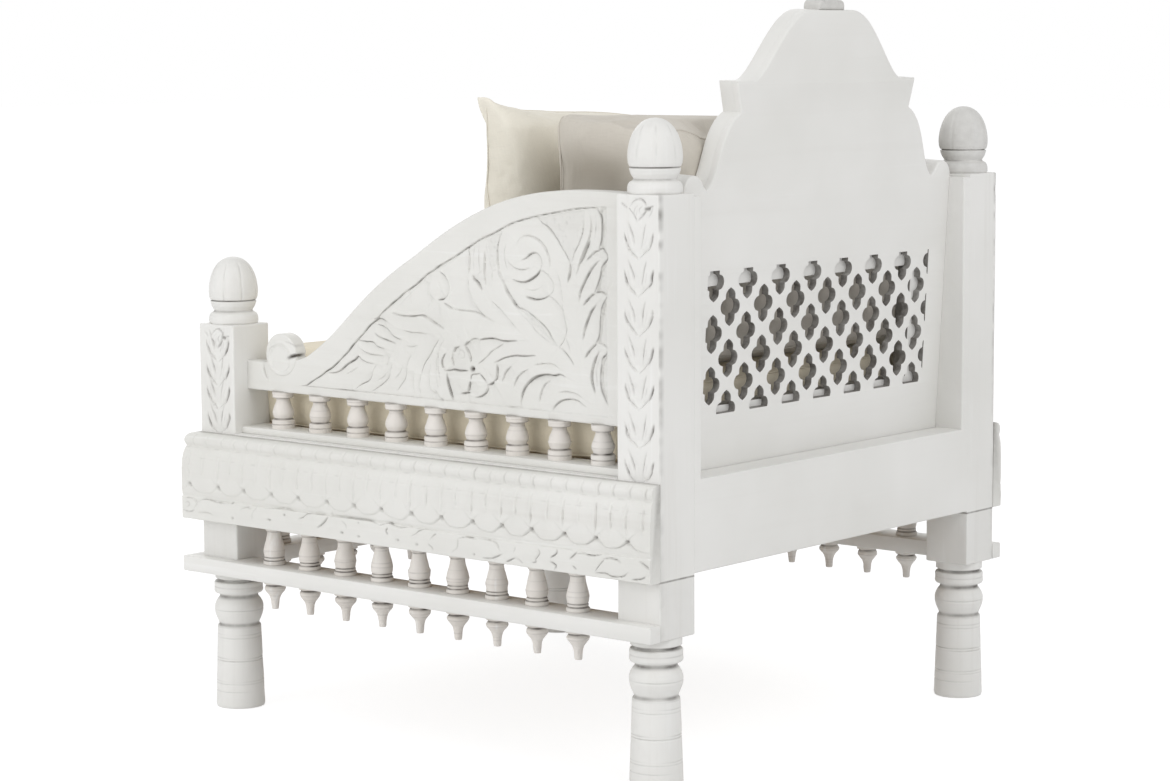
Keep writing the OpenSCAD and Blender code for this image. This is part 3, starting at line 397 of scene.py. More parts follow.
def make(name, parts, material, body="frame", replaces=(), sharp=38.0):
    """One object from a list of (points, faces, darkening) parts; the darkening is soiling and painted shade."""
    points, faces, dirt_and_shade, start = [], [], [], 0
    for p, f, d in parts:
        p = np.asarray(p, float).reshape(-1, 3)
        points.append(p)
        faces += [tuple(i + start for i in face) for face in f]
        dirt_and_shade.append(np.zeros(len(p)) if d is None else np.asarray(d, float).reshape(-1))
        start += len(p)
    mesh = outward_mesh(name, np.concatenate(points), faces)
    mesh.materials.append(material)
    lay_dirt_and_shade(mesh, np.concatenate(dirt_and_shade))
    mesh.shade_smooth()
    mesh.set_sharp_from_angle(angle=math.radians(sharp))
    obj = placed(name, mesh)
    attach(obj, body)
    if replaces:
        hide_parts(*replaces)
    return obj


def flipped(parts):
    """The same parts on the other side of the chair."""
    return [(np.asarray(p, float).reshape(-1, 3) * (-1, 1, 1), f, d) for p, f, d in parts]


def quads(n, m, close=False, start=0):
    """Faces of an n by m grid of points; close joins the last column to the first."""
    i, j = np.meshgrid(np.arange(n - 1), np.arange(m if close else m - 1), indexing="ij")
    k = (j + 1) % m
    f = np.stack([i * m + j, i * m + k, (i + 1) * m + k, (i + 1) * m + j], -1).reshape(-1, 4)
    return (f + start).tolist()


def loft(rings, dirt_and_shade=None):
    """A closed solid through rings of points, with flat ends."""
    rings = np.asarray(rings, float)
    n, m = rings.shape[:2]
    faces = quads(n, m, True)
    faces.append(list(range(m)))
    faces.append([(n - 1) * m + i for i in range(m)])
    return rings.reshape(-1, 3), faces, dirt_and_shade


def grid_border(n, m):
    """The places on the border of an n by m grid, in order round it."""
    return ([(i, 0) for i in range(n)] + [(n - 1, j) for j in range(1, m)]
            + [(i, m - 1) for i in range(n - 2, -1, -1)] + [(0, j) for j in range(m - 2, 0, -1)])


def plate(front, back, dirt_and_shade=None):
    """A solid between a grid of points and the same border on another plane."""
    n, m = front.shape[:2]
    border = grid_border(n, m)
    outer = [i * m + j for i, j in border]
    ring = np.array([back[i, j] for i, j in border])
    start = n * m
    faces = quads(n, m)
    k = len(border)
    faces += [[outer[i], outer[(i + 1) % k], start + (i + 1) % k, start + i] for i in range(k)]
    faces.append([start + i for i in range(k)])
    d = np.concatenate([np.zeros(n * m) if dirt_and_shade is None else dirt_and_shade.reshape(-1), np.zeros(k)])
    return np.concatenate([front.reshape(-1, 3), ring]), faces, d


def run_length(line):
    """How far along a line each of its points lies."""
    return np.concatenate([[0], np.cumsum(np.hypot(*np.diff(line, axis=0).T))])


def spline(points, steps=6):
    """A smooth line through the points."""
    p = np.asarray(points, float)
    if len(p) < 3:
        return p
    q = np.vstack([2 * p[0] - p[1], p, 2 * p[-1] - p[-2]])
    t = np.linspace(0, 1, steps, endpoint=False)[:, None]
    out = []
    for a, b, c, d in zip(q[:-3], q[1:-2], q[2:-1], q[3:]):
        out.append(0.5 * (2 * b + (c - a) * t + (2 * a - 5 * b + 4 * c - d) * t ** 2
                          + (3 * b - 3 * c + d - a) * t ** 3))
    return np.vstack(out + [p[-1:]])


def wobble(u, v, size, seed):
    """Smooth random heights, about -1 to 1."""
    r = np.random.default_rng(seed)
    total = np.zeros(np.broadcast(u, v).shape)
    for _ in range(7):
        a, phase = r.uniform(0, 2 * math.pi, 2)
        k = r.uniform(0.6, 1.6) * 2 * math.pi / size
        total += np.sin(k * (u * math.cos(a) + v * math.sin(a)) + phase)
    return total / 4


class Relief:
    """Heights over a flat field of (u, v) points, cut by strokes as a carver's tools cut them."""

    def __init__(self, u, v):
        self.u, self.v = np.asarray(u, float), np.asarray(v, float)
        self.h = np.zeros(self.u.shape)
        self.dirt_and_shade = np.zeros(self.u.shape)

    def near(self, line, reach):
        """The points within reach of a line: a mask of them, and each one's distance, side and share along it."""
        lo, hi = line.min(0) - reach, line.max(0) + reach
        mask = (self.u > lo[0]) & (self.u < hi[0]) & (self.v > lo[1]) & (self.v < hi[1])
        p = np.stack([self.u[mask], self.v[mask]], 1)
        best = np.full(len(p), 1e9)
        side = np.zeros(len(p))
        along = np.zeros(len(p))
        d = np.diff(line, axis=0)
        length = np.hypot(d[:, 0], d[:, 1])
        total, done = length.sum(), 0.0
        for a, e, l in zip(line[:-1], d, length):
            if l < 1e-6:
                continue
            r = p - a
            t = np.clip(r @ e / (l * l), 0, 1)
            q = r - t[:, None] * e
            dist = np.hypot(q[:, 0], q[:, 1])
            closer = dist < best
            best[closer] = dist[closer]
            side[closer] = np.sign(e[0] * r[:, 1] - e[1] * r[:, 0])[closer]
            along[closer] = ((done + t * l) / total)[closer]
            done += l
        return mask, best, side, along

    def cut(self, points, depth=1.5, width=3.0, low=0, step=0.9, soft=9.0, dark=0.5, taper=0.35, fade=(1, 1),
            uneven=0.4):
        """A tapering cut along a line. The surface on side low falls away from it."""
        line = spline(points)
        mask, dist, side, along = self.near(line, max(width, 2.2 * soft))
        if not len(dist):
            return
        t = np.clip(np.minimum(along, 1 - along) / taper, 0, 1) ** 0.6 if taper else np.ones(len(dist))
        t = (0.15 + 0.85 * t) * (fade[0] + (fade[1] - fade[0]) * along)
        h = -depth * t * np.clip(1 - dist / (0.5 * width * (0.4 + 0.6 * t)), 0, 1)
        if low:
            fall = np.exp(-(dist / soft) ** 1.3) * t
            h -= np.where(side == low, step * fall, 0)
            h += np.where(side != low, 0.35 * step * np.exp(-((dist - 0.6 * soft) / soft) ** 2) * t, 0)
        self.h[mask] += h
        length = np.hypot(*np.diff(line, axis=0).T).sum()
        phase = line[0, 0] * 0.37 + line[0, 1] * 0.61
        rough = np.sin(along * length / 4.3 + phase) * np.sin(along * length / 9.7 + 2 * phase)
        # Darkening along the cut by dark: soiling and painted shade in the groove
        dirt_and_shade = dark * t * (1 - uneven + uneven * rough) * np.exp(-(dist / (0.36 * width)) ** 2)
        self.dirt_and_shade[mask] = np.maximum(self.dirt_and_shade[mask], dirt_and_shade)

    def swell(self, points, height, reach, fade=(1, 1)):
        """A soft ridge, or with a negative height a soft hollow, along a line."""
        line = spline(points)
        mask, dist, _, along = self.near(line, 2.5 * reach)
        self.h[mask] += height * (fade[0] + (fade[1] - fade[0]) * along) * np.exp(-(dist / reach) ** 2)

    def inside(self, polygon):
        """Which of the points lie within the polygon."""
        p = np.asarray(polygon, float)
        x, y = self.u, self.v
        result = np.zeros(x.shape, bool)
        for (x1, y1), (x2, y2) in zip(p, np.roll(p, -1, 0)):
            if y1 == y2:
                continue
            crosses = (y1 > y) != (y2 > y)
            result ^= crosses & (x < (x2 - x1) * (y - y1) / (y2 - y1) + x1)
        return result

    def ground(self, polygon, depth, edge=2.0, punch=0.0, seed=1):
        """Lowers a region, with punch marks on it, and darkens it a little: soiling in the marks and painted shade in
        the hollow.
        """
        p = np.asarray(polygon, float)
        line = np.vstack([p, p[:1]])
        mask, dist, _, _ = self.near(line, 40)
        inside = self.inside(p)[mask]
        share = np.where(inside, np.clip(dist / edge, 0, 1), 0)
        fall = depth * share
        if punch:
            u, v = self.u[mask], self.v[mask]
            marks = np.clip(wobble(u, v, 8.5, seed) - 0.2, 0, 1) * np.clip(0.5 + wobble(u, v, 30, seed + 1), 0, 1)
            fall += punch * share * marks
            self.dirt_and_shade[mask] = np.maximum(self.dirt_and_shade[mask], share * (0.05 + 0.16 * np.clip(marks, 0, 0.7)))
        self.h[mask] -= fall


# Turned work

def lathe(profile, x, y, segments=48, scored=(), grime_and_shade=(), flutes=0, seed=0, fine=1.0, turn=0.0, soiled=0.0):
    """A turned solid on a vertical axis. scored lists (height, depth) of thin rings cut in it, and the argument after
    it lists (height, reach, amount) of darkened rings: soiling in the grooves, and painted shade at the joints and
    under overhangs. Scored rings and flutes are darkened in their hollows too. The flutes start at the angle turn,
    and soiled is how soiled the whole piece is."""
    p = np.asarray(profile, float)
    length = run_length(p)
    stops = set(length)
    stops |= set(np.arange(0, length[-1], 2.4 / fine))
    rising = bool(np.all(np.diff(p[:, 1]) >= 0))
    for z0 in [row[0] for row in scored] + [row[0] for row in grime_and_shade]:
        if rising:
            at = np.interp(z0, p[:, 1], length)
            stops |= {at + o for o in (-1.6, -0.8, 0, 0.8, 1.6)}
    s = np.array(sorted(stops))
    s = s[(s >= 0) & (s <= length[-1])]
    s = s[np.concatenate([[True], np.diff(s) > 0.05])]
    r = np.interp(s, length, p[:, 0])
    z = np.interp(s, length, p[:, 1])
    a = np.linspace(0, 2 * math.pi, segments, endpoint=False)
    radius = np.repeat(r[:, None], segments, 1)
    dirt_and_shade = np.full(radius.shape, soiled)
    for z0, depth in scored:
        bite = np.clip(1 - np.abs(z - z0) / 1.5, 0, 1)[:, None]
        part = np.clip(0.6 + 0.35 * np.sin(a + z0) + 0.25 * np.sin(3 * a + 2 * z0), 0, 1)[None, :]
        radius = radius - depth * bite * part
        dirt_and_shade = np.maximum(dirt_and_shade, 0.6 * depth * bite ** 2 * part)
    around = wobble(14 * np.cos(a), 14 * np.sin(a), 22, seed + 7)
    for z0, reach, amount in grime_and_shade:
        ring = np.exp(-((z - z0) / reach) ** 2)[:, None]
        dirt_and_shade = np.maximum(dirt_and_shade, amount * ring * np.clip(0.8 + 0.35 * around, 0.35, 1.1)[None, :])
    if flutes:
        angle = ((a - turn) * flutes / (2 * math.pi)) % 1.0
        near = np.minimum(angle, 1 - angle) / flutes * 2 * math.pi
        d = near[None, :] * radius
        top = np.clip((z - z.max() + 62) / 6, 0, 1) * np.clip((z.max() - 3 - z) / 8, 0, 1)
        cut = np.clip(1 - d / 1.9, 0, 1) * top[:, None]
        radius = radius - 0.9 * cut
        dirt_and_shade = np.maximum(dirt_and_shade, (0.2 + 0.12 * np.sin(z / 5.0 + seed))[:, None] * cut ** 2)
    radius = radius + 0.22 * wobble(a[None, :] * 12, z[:, None], 34, seed) * (r > 3)[:, None]
    rings = np.stack([x + radius * np.cos(a), y + radius * np.sin(a), np.repeat(z[:, None], segments, 1)], -1)
    return loft(rings, dirt_and_shade)


# Profiles list (radius, height) upwards, scored lists (height, depth), and the darkened rings list (height, reach,
# amount): soiling in grooves and painted shade at joints

def leg_profile():
    h = LEG_H
    return [(31.5, 0), (32.5, 3), (32.4, 6), (29, h - 76), (28.4, h - 74), (26.8, h - 72.8), (26.6, h - 71.5),
            (27, h - 70), (28.6, h - 66.5), (30.8, h - 61), (32.2, h - 55.5), (32.5, h - 51), (32.2, h - 47),
            (30.6, h - 42.5), (28.2, h - 38.5), (25.6, h - 35.5), (25.3, h - 33.5), (26, h - 31), (31.2, h - 29.6),
            (32.5, h - 27), (32, h - 21.5), (32.3, h - 16.5), (31.2, h - 14.6), (27, h - 13.6), (27, h - 11),
            (31, h - 9.6), (31, h + 1)]


LEG_SCORED = ((99, 0.45), (94.5, 0.4), (67, 0.8), (63.5, 0.7), (36, 0.45), (32.5, 0.35), (132, 0.5), (22, 0.5))
# Leg rings darkened in the necks and grooves: soiling, and painted shade in the hollows
LEG_GRIME_AND_SHADE = ((112, 2.4, 0.75), (150, 2.6, 0.85), (171.6, 1.9, 0.85), (162.5, 0.9, 0.22), (108.4, 0.8, 0.2))


def finial_profile(z0):
    r, c, g = 32.5, 16.0, 31.0
    low = [(r - 1.6, 0), (r, 2.5), (r, 7), (r - 0.9, c - 5), (r - 2.8, c - 2.2), (r - 6, c - 0.5), (r - 7.5, c + 1),
           (r - 6.6, c + 3), (r - 4, c + 7), (r - 2.4, g - 3), (r - 2.2, g - 1.2), (r - 4.2, g - 0.2),
           (r - 4.2, g + 0.2), (r - 2, g + 1), (r - 0.6, g + 5)]
    dome = [(r * math.cos(t) ** 0.9, g + 11 + 46 * math.sin(t)) for t in np.radians(np.arange(0, 86, 5.0))]
    return [(a, b + z0) for a, b in low + dome + [(1.0, g + 57)]]


def finial_grime_and_shade(z0):
    # Finial rings darkened in the grooves, and painted shade where the finial sits on the post
    return ((z0 + 16.6, 1.5, 0.5), (z0 + 31, 0.8, 0.95), (z0, 0.9, 0.2))


def lower_spindle_profile():
    b, t = LEG_H + 20.5, 255.0
    return [(14.3, b), (14.6, b + 0.8), (14.6, b + 4.4), (13.8, b + 5.4), (12.4, b + 6), (13.2, b + 6.8),
            (13.1, b + 9.2), (12.0, b + 10), (12.9, b + 10.8), (13.6, b + 14), (14.2, b + 18.5), (14, b + 20.5),
            (12.9, b + 25), (11.3, b + 31), (10, b + 36), (9.2, b + 41), (9.2, t - 7), (10.4, t - 6),
            (10.9, t - 5), (11.2, t)]


# Lower spindle rings darkened in the grooves, and painted shade where they meet the rail
LOWER_GRIME_AND_SHADE = ((LEG_H + 26.4, 1.0, 1.0), (LEG_H + 30.4, 0.9, 0.9), (248.2, 0.9, 0.7), (LEG_H + 20.6, 0.8, 0.6),
               (LEG_H + 39.5, 0.9, 0.22))


def drop_profile():
    t = LEG_H
    return [(2, t - 39), (4.3, t - 38.7), (4.7, t - 37), (5.1, t - 32), (5.8, t - 26.5), (7.2, t - 21.8),
            (9.6, t - 18.6), (12, t - 15.6), (13.4, t - 13.2), (13.9, t - 11), (13.4, t - 9), (12.0, t - 7.6),
            (11.2, t - 6.4), (12.4, t - 5.6), (14.4, t - 5), (14.8, t - 3.8), (14.8, t)]


# Drop rings darkened in the groove, and a painted shadow just under the rail
DROP_GRIME_AND_SHADE = ((LEG_H - 6.8, 1.3, 1.05), (LEG_H - 0.3, 0.9, 0.8), (LEG_H - 13.4, 0.8, 0.25))


def gallery_profile():
    b, t = 381.5, ARM_Z
    return [(14.6, b), (14.8, b + 5), (14.0, b + 5.6), (14.8, b + 6.3), (14.6, b + 11), (13.7, b + 11.9),
            (11.2, b + 12.7), (12.3, b + 15.2), (13.7, b + 18.8), (14.1, b + 21.3), (13.6, b + 24.4),
            (12.2, b + 28.4), (10.7, b + 32), (9.4, b + 35.5), (9.0, b + 37.8), (9.3, t - 8.8), (12.9, t - 8),
            (13.7, t - 7), (13.8, t - 3.8), (14.3, t - 3.2), (14.3, t)]


# Gallery spindle rings darkened in the grooves, and painted shade just under the arm
GALLERY_GRIME_AND_SHADE = ((387.1, 0.7, 0.6), (394.2, 1.1, 0.95), (ARM_Z - 8.6, 1.0, 0.7), (ARM_Z - 0.3, 0.8, 0.6))


def side_places(count, pitch, middle):
    """Places that lie evenly on both sides of the middle."""
    return [middle + (i - (count - 1) / 2) * pitch for i in range(count)]


# Posts

def post_section(width, carve_x, carve_y, inner):
    """Points round a post's section, from its +x side on. Carved sides get closer points, and inner is the
    radius of the corner towards the back board."""
    h = width / 2
    radii = (2.2, inner, 2.2, 2.2)
    out = []
    for k, fine in enumerate((carve_x, False, False, carve_y)):
        before, r = radii[k - 1], radii[k]
        side = [(h, t) for t in np.linspace(-h + before, h - r, 58 if fine else 10)]
        side += [(h - r + r * math.cos(a), h - r + r * math.sin(a)) for a in np.radians((22.5, 45, 67.5))]
        c, s = math.cos(k * math.pi / 2), math.sin(k * math.pi / 2)
        out += [(x * c - y * s, x * s + y * c) for x, y in side]
    return np.array(out)


def leaf_chain(relief, middle, first, pitch, count, size, bud, seed):
    """A chain of paired leaves up a post's face, with a bud on top."""
    rng = np.random.default_rng(seed)

    def stroke(points, place, *more, **kind):
        shift = rng.normal(0, 0.5, (len(points), 2))
        relief.cut([(middle + (a + e) * size, place + (b + f) * size) for (a, b), (e, f) in zip(points, shift)],
                   *more, **kind)

    for i in range(count):
        v = first + i * pitch + rng.normal(0, 0.9)
        for w in (-1, 1):
            heavy = (1.0 if w > 0 else 0.6) * rng.uniform(0.75, 1.15)
            wide = 1.0 if w > 0 else 0.9
            line = [(0, 0), (8, 6), (15 * wide, 11), (19 * wide, 17), (22.5 * wide, 26)]
            stroke([(w * a, b) for a, b in line], v, 1.2, 2.4, w, 2.2, 11, 0.13, 0.3)
            wedge = [(16 * wide, 11.5), (19 * wide, 17), (21.3 * wide, 23.5), (22.6 * wide, 31)]
            stroke([(w * a, b) for a, b in wedge], v, 3.4 * heavy, 4.4 * heavy, 0, 0, 5, 1.25 * heavy, 0.45)
            vein = [(4.5, 13), (7.5, 26), (12.5, 42)] if w > 0 else [(6, 16), (9, 28), (15, 44)]
            stroke([(w * a, b) for a, b in vein], v, 2.1, 2.8, w, 1.0, 6, 0.62 * heavy, 0.45)
            stroke([(w * (a + 6), b + 3) for a, b in vein[:2]], v, 0.8, 2.2, 0, 0, 5, 0.2, 0.4)
            belly = [(w * 10, 14), (w * 14 * wide, 22), (w * 16 * wide, 32)]
            relief.swell([(middle + a * size, v + b * size) for a, b in belly], 1.1, 4.5 * size)
            relief.swell([(middle + w * 3 * size, v + 10 * size), (middle + w * 5 * size, v + 26 * size)], -0.7, 3.2)
    stroke([(-13, 2), (-6, 9), (2, 12), (9, 9), (14, 1)], bud, 1.6, 2.4, 1, 1.4, 6, 0.5, 0.3)
    stroke([(-13, 1), (-6, -5), (0, -14)], bud, 1.3, 2.4, -1, 1.4, 6, 0.4, 0.3)
    stroke([(14, 1), (7, -6), (0, -14)], bud, 1.6, 2.4, 1, 1.4, 6, 0.5, 0.3)
    stroke([(12, 0), (16, 0.5)], bud + 1, 2.8, 5.4, 0, 0, 5, 1.1, 0)
    stroke([(14, 0), (24, 3)], bud + 1, 1.3, 2.2, 0, 0, 5, 0.6, 0.4)
    stroke([(-15, 1), (-21, 4), (-25, 8)], bud, 1.1, 2.4, -1, 0.9, 6, 0.5, 0.3)
    stroke([(-6, -4), (-4, 2), (1, 6)], bud, 0.9, 2.0, 0, 0, 5, 0.4, 0.4)
    stroke([(5, -6), (3, 0), (8, 5)], bud, 0.9, 2.0, 0, 0, 5, 0.45, 0.4)
    stroke([(-3, -10), (-1, -3), (0, 3)], bud, 0.8, 2.0, 0, 0, 5, 0.3, 0.4)
    stroke([(17, -8), (21, -2), (22, 5)], bud, 1.0, 2.2, 0, 0, 5, 0.4, 0.4)


def post(x, y, height, carve_front):
    """Left post: a carved square length on a turned leg."""
    rear = not carve_front
    section = post_section(X_OUT - X_IN, True, carve_front, 0.3 if rear else 2.2)
    z = np.concatenate([[LEG_H], np.arange(LEG_H + 1.2, 250, 6.0), [251.5, 253, 254.2, 255.2, 256.2],
                        np.arange(258, 372, 8.0),
                        np.arange(372, height - 2.0, 1.4), [height - 1.2, height - 0.4, height]])
    n = len(z)
    m = len(section)
    xs = np.repeat(section[None, :, 0], n, 0)
    ys = np.repeat(section[None, :, 1], n, 0)
    zs = np.repeat(z[:, None], m, 1)
    shrink = np.zeros(n)
    shrink[-1], shrink[-2], shrink[0] = 1.6, 0.5, 1.2
    dirt_and_shade = np.zeros((n, m))
    # Painted shade: a dark line on the post just under the frieze, and the block below it a touch darker
    dirt_and_shade[z <= 256] = 0.05
    dirt_and_shade[(z > 253.5) & (z < 256)] = 0.75
    sides = [("x", ys, xs, 1)]
    if carve_front:
        sides.append(("y", xs, ys, -1))
    for axis, across, out, sign in sides:
        on = (out * sign > 32.2) & (np.abs(across) < 31)
        relief = Relief(np.where(on, across, 999), np.where(on, zs, -999))
        if rear:
            leaf_chain(relief, 0.0, 410 - 44.4, 44.4, 7, 1.0, 690, 61)
        elif axis == "x":
            leaf_chain(relief, 1.0, 369, 32.4, 4, 0.99, 497.5, 62)
        else:
            leaf_chain(relief, 0.0, 369, 32.4, 4, 0.99, 497.5, 63)
        h = np.maximum(relief.h, -4.2)
        edge = np.clip((31 - np.abs(across)) / 4, 0, 1)
        h = np.minimum(h, 0) * edge * on
        if axis == "x":
            xs = xs + h
        else:
            ys = ys - h
        dirt_and_shade = np.maximum(dirt_and_shade, relief.dirt_and_shade * on)
    if rear:
        corner = (np.abs(xs - 31.6) < 1.3) & (np.abs(ys - 31.6) < 1.3)
        chips = np.clip(0.45 + 0.6 * wobble(zs, zs * 0.3, 26, 91), 0, 1)
        chips = chips * np.interp(zs, (380, 560, 700), (0.2, 0.6, 0.8))
        dirt_and_shade = np.maximum(dirt_and_shade, corner * chips)
        xs, ys = xs - corner * chips * 0.8, ys - corner * chips * 0.8
    k = 1 - shrink[:, None] / 32.5
    waver = 0.12 * wobble(xs + ys * 0.7, zs, 90, 5 + int(height)) - 0.1
    free = (ys < 32) | carve_front
    xs = xs * k + np.sign(xs) * waver * free
    ys = ys * k + np.sign(ys) * waver * free
    leg = lathe(leg_profile(), x, y, 72, LEG_SCORED, LEG_GRIME_AND_SHADE, 0, 3 + int(height), 1.5)
    return [loft(np.stack([xs + x, ys + y, zs], -1), dirt_and_shade), leg]


# Friezes

def frieze_profile():
    """Outline of the frieze's outer surface: how far it stands out, and its height, from the bottom up."""
    t, b, r = 19.0, 255.0, 349.0
    roll = [(t - 13 + 10 * math.cos(a), r + 11 + 10 * math.sin(a)) for a in np.radians(np.arange(-38, 91, 10.0))]
    return np.array([(0, b), (t - 1.4, b), (t - 0.3, b + 0.5), (t, b + 1.6), (t, b + 29), (t - 0.9, b + 31),
                     (t - 0.4, b + 33), (t, b + 39), (t, r - 26), (t - 0.7, r - 14), (t - 1.9, r - 6),
                     (t - 3.8, r + 0.6), (t - 5.2, r + 3.2)] + roll + [(0, 371)])


def frieze_relief(s, z, length, seed, places, clear):
    """Relief over a frieze: garland below, tongues above. s runs along it, places are the tongues' gaps, and
    clear(s) says from 0 to 1 how clearly the work is cut."""
    relief = Relief(s, z)
    r = np.random.default_rng(seed)
    third = length / 3
    relief.cut([(0, 338), (third, 337.4), (2 * third, 338.4), (length, 338)], 0.25, 2.2, 0, 0, 5, 0.16, 0, uneven=1.0)
    relief.cut([(0, 351.4), (third, 351.4), (2 * third, 351.4), (length, 351.4)], 0.4, 2.6, 0, 0, 5, 0.16, 0,
               uneven=0.9)
    gaps = list(places)
    for c, after in zip(gaps, gaps[1:] + [2 * gaps[-1] - gaps[-2]]):
        k = clear(c)
        pitch = after - c
        drop = 11 + r.uniform(-1, 1)
        for w in (-1, 1):
            arc = [(c, 303.5), (c + w * 6, 298.5), (c + w * 14, 304.5 - drop), (c + w * pitch / 2, 303.5 - drop)]
            relief.cut(arc, 0.5 + 1.1 * k, 2.6, w * -1, 0.6 + 1.5 * k, 8, 0.42 * k, 0, (1, 0.3))
        relief.ground([(c - 4.5, 299.5), (c, 308), (c + 4.5, 299.5), (c, 298)], 2.8, 2.4)
        relief.cut([(c - 2.8, 300.8), (c, 303), (c + 2.8, 300.8)], 2.0, 4.0, 0, 0, 5, 0.6 + 0.4 * k, 0.4, uneven=0.1)
        relief.swell([(c - pitch / 2, 301), (c - pitch / 2, 335)], 0.5, 9)
        for shift, heavy, foot in ((0, 1.0, 307), (pitch / 2, 0.85, 315)):
            x = c + shift + r.uniform(-1, 1)
            heavy *= (0.5 + 0.6 * k) * r.uniform(0.75, 1.2)
            bend = r.uniform(-1.5, 1.5)
            edge = [(x, foot + r.uniform(-2, 5)), (x + bend - 0.8, (foot + 346) / 2), (x + 0.6, 346)]
            relief.cut(edge, 1.3 * heavy, 2.4, -1, 1.3 * heavy, 4.5, 0.3 * heavy, 0.2, (1, 0.5))
            relief.swell([(a - 2.0, b) for a, b in edge], 1.0 * heavy, 1.8)
            x += r.uniform(-0.8, 0.8)
            relief.cut([(x + 2, 353), (x + 1.4, 361), (x + 2, 369)], 1.5 * heavy, 2.8, 0, 0, 5, 0.3 * heavy, 0.2)
            relief.swell([(x - 1.2, 354), (x - 1.2, 367)], 1.0 * heavy, 1.7)
    garland(relief, length, r)
    return relief


def garland(relief, length, r):
    """Leaves along the lower band, cut sharply here and hardly there."""
    relief.cut([(30, 284), (length * 0.25, 285), (length * 0.5, 285.5), (length * 0.7, 284), (length, 285)], 0.7, 2.2,
               1, 0.7, 6, 0.12, 0.05, uneven=0.9)
    for heavy, points in GARLAND:
        line = [(y - Y_FRONT, z) for y, z in points]
        flat = abs(line[0][0] - line[-1][0]) > 12
        low = (1 if np.mean([z for _, z in line]) > 272 else -1) if flat else 0
        width = 1.9 if flat else 2.4
        if len(line) == 2 and math.dist(*line) < 7:
            width = 3.6
        relief.cut(line, 0.5 + 1.5 * heavy, width, low, 1.2 if low else 0.0, 6, 0.85 * heavy, 0.3, (1, 1), 0.3)
    for c in np.arange(24, length, 47.0):
        c += r.uniform(-6, 6)
        relief.swell([(c - 12, 270), (c + 12, 271)], 0.7, 6)


def frieze(total, mitre_lo, mitre_hi, seed, places, clear):
    """Rings of a frieze of this length in its own (along, out, height) space, and how dark they are: soiling and
    painted shade in the cuts, and a painted shade line along the top back edge.
    """
    p = frieze_profile()
    length = run_length(p)
    s = np.unique(np.round(np.concatenate([length, np.arange(19, length[-1] - 10, 1.15)]), 3))
    out = np.interp(s, length, p[:, 0])
    z = np.interp(s, length, p[:, 1])
    along = np.arange(0, total + 0.1, total / round(total / 1.15))
    a, o = np.meshgrid(along, out, indexing="ij")
    zz = np.repeat(z[None, :], len(along), 0)
    relief = frieze_relief(a, np.where(o > 5, zz, -999), total, seed, places, clear)
    fade = np.ones(a.shape)
    if mitre_lo:
        fade *= np.clip(a / 7, 0, 1)
    if mitre_hi:
        fade *= np.clip((total - a) / 7, 0, 1)
    h = np.clip(relief.h, -4.5, 0.8) * fade * (o > 5)
    tangent = np.gradient(np.stack([out, z], -1), axis=0)
    tangent /= np.maximum(np.linalg.norm(tangent, axis=1), 1e-6)[:, None]
    normal_out, normal_z = tangent[:, 1], -tangent[:, 0]
    h = h + 0.3 * wobble(a, zz, 120, seed + 40) * fade
    o = np.maximum(o + h * normal_out[None, :] * (o > 5), 0)
    zz = zz + h * normal_z[None, :] * (o > 5)
    lo = np.where(mitre_lo, -o, 0)
    hi = np.where(mitre_hi, o, 0)
    share = a / total
    base = lo + (total + hi - lo) * share
    # Painted shade: a dark line along the frieze's top back edge, under the gallery strip
    dirt_and_shade = relief.dirt_and_shade * fade + np.where((o < 5) & (zz > 368), 0.6, 0.0)
    return base, o, zz, dirt_and_shade


# Boards with softened edges

def spread(points, step=12.0):
    """The closed outline with extra points on its long sides."""
    p = np.asarray(points, float)
    out = []
    for a, b in zip(p, np.roll(p, -1, 0)):
        n = max(1, int(np.hypot(*(b - a)) / step))
        out += [a + (b - a) * k / n for k in range(n)]
    return np.array(out)


def into_wood(contour, hole=False, least=0.5):
    """Unit steps from a contour's points into the wood that it bounds, longer at a corner so that the sides stay
    even. least caps that at sharp corners."""
    after = np.roll(contour, -1, 0) - contour
    before = np.roll(after, 1, 0)
    before, after = (d / np.linalg.norm(d, axis=1)[:, None] for d in (before, after))
    x, y = contour.T
    way = 1 if np.sum(x * np.roll(y, -1) - np.roll(x, -1) * y) > 0 else -1
    if hole:
        way = -way
    normal = (np.stack([-before[:, 1], before[:, 0]], 1) + np.stack([-after[:, 1], after[:, 0]], 1)) * way
    return normal / np.maximum(1 + np.sum(before * after, axis=1), least)[:, None]


def slab(outline, low, high, r=1.3, seed=0):
    """A flat board on an outline in plan, with rounded edges above and below."""
    q = spread(outline, 40.0)
    inward = into_wood(q, least=0.3)
    rings = []
    steps = ((0, r), (0.3 * r, 0.3 * r), (r, 0))
    for z, d in [(low + up, d) for up, d in steps] + [(high - up, d) for up, d in steps[::-1]]:
        ring = q + inward * d
        w = 0.2 * wobble(ring[:, 0], ring[:, 1], 160, seed)
        rings.append(np.column_stack([ring, np.full(len(ring), z) + (w if r < z - low < high - low - r else 0)]))
    return loft(rings)


def rounded(points, radii, steps=4):
    """A closed outline with every corner rounded by its own radius."""
    p = np.asarray(points, float)
    out = []
    for i, r in enumerate(radii):
        b = p[i]
        u, v = p[i - 1] - b, p[(i + 1) % len(p)] - b
        u, v = b + u / np.linalg.norm(u) * r, b + v / np.linalg.norm(v) * r
        for t in np.linspace(0, 1, steps + 1):
            out.append((1 - t) ** 2 * u + 2 * t * (1 - t) * b + t * t * v)
    return np.array(out)


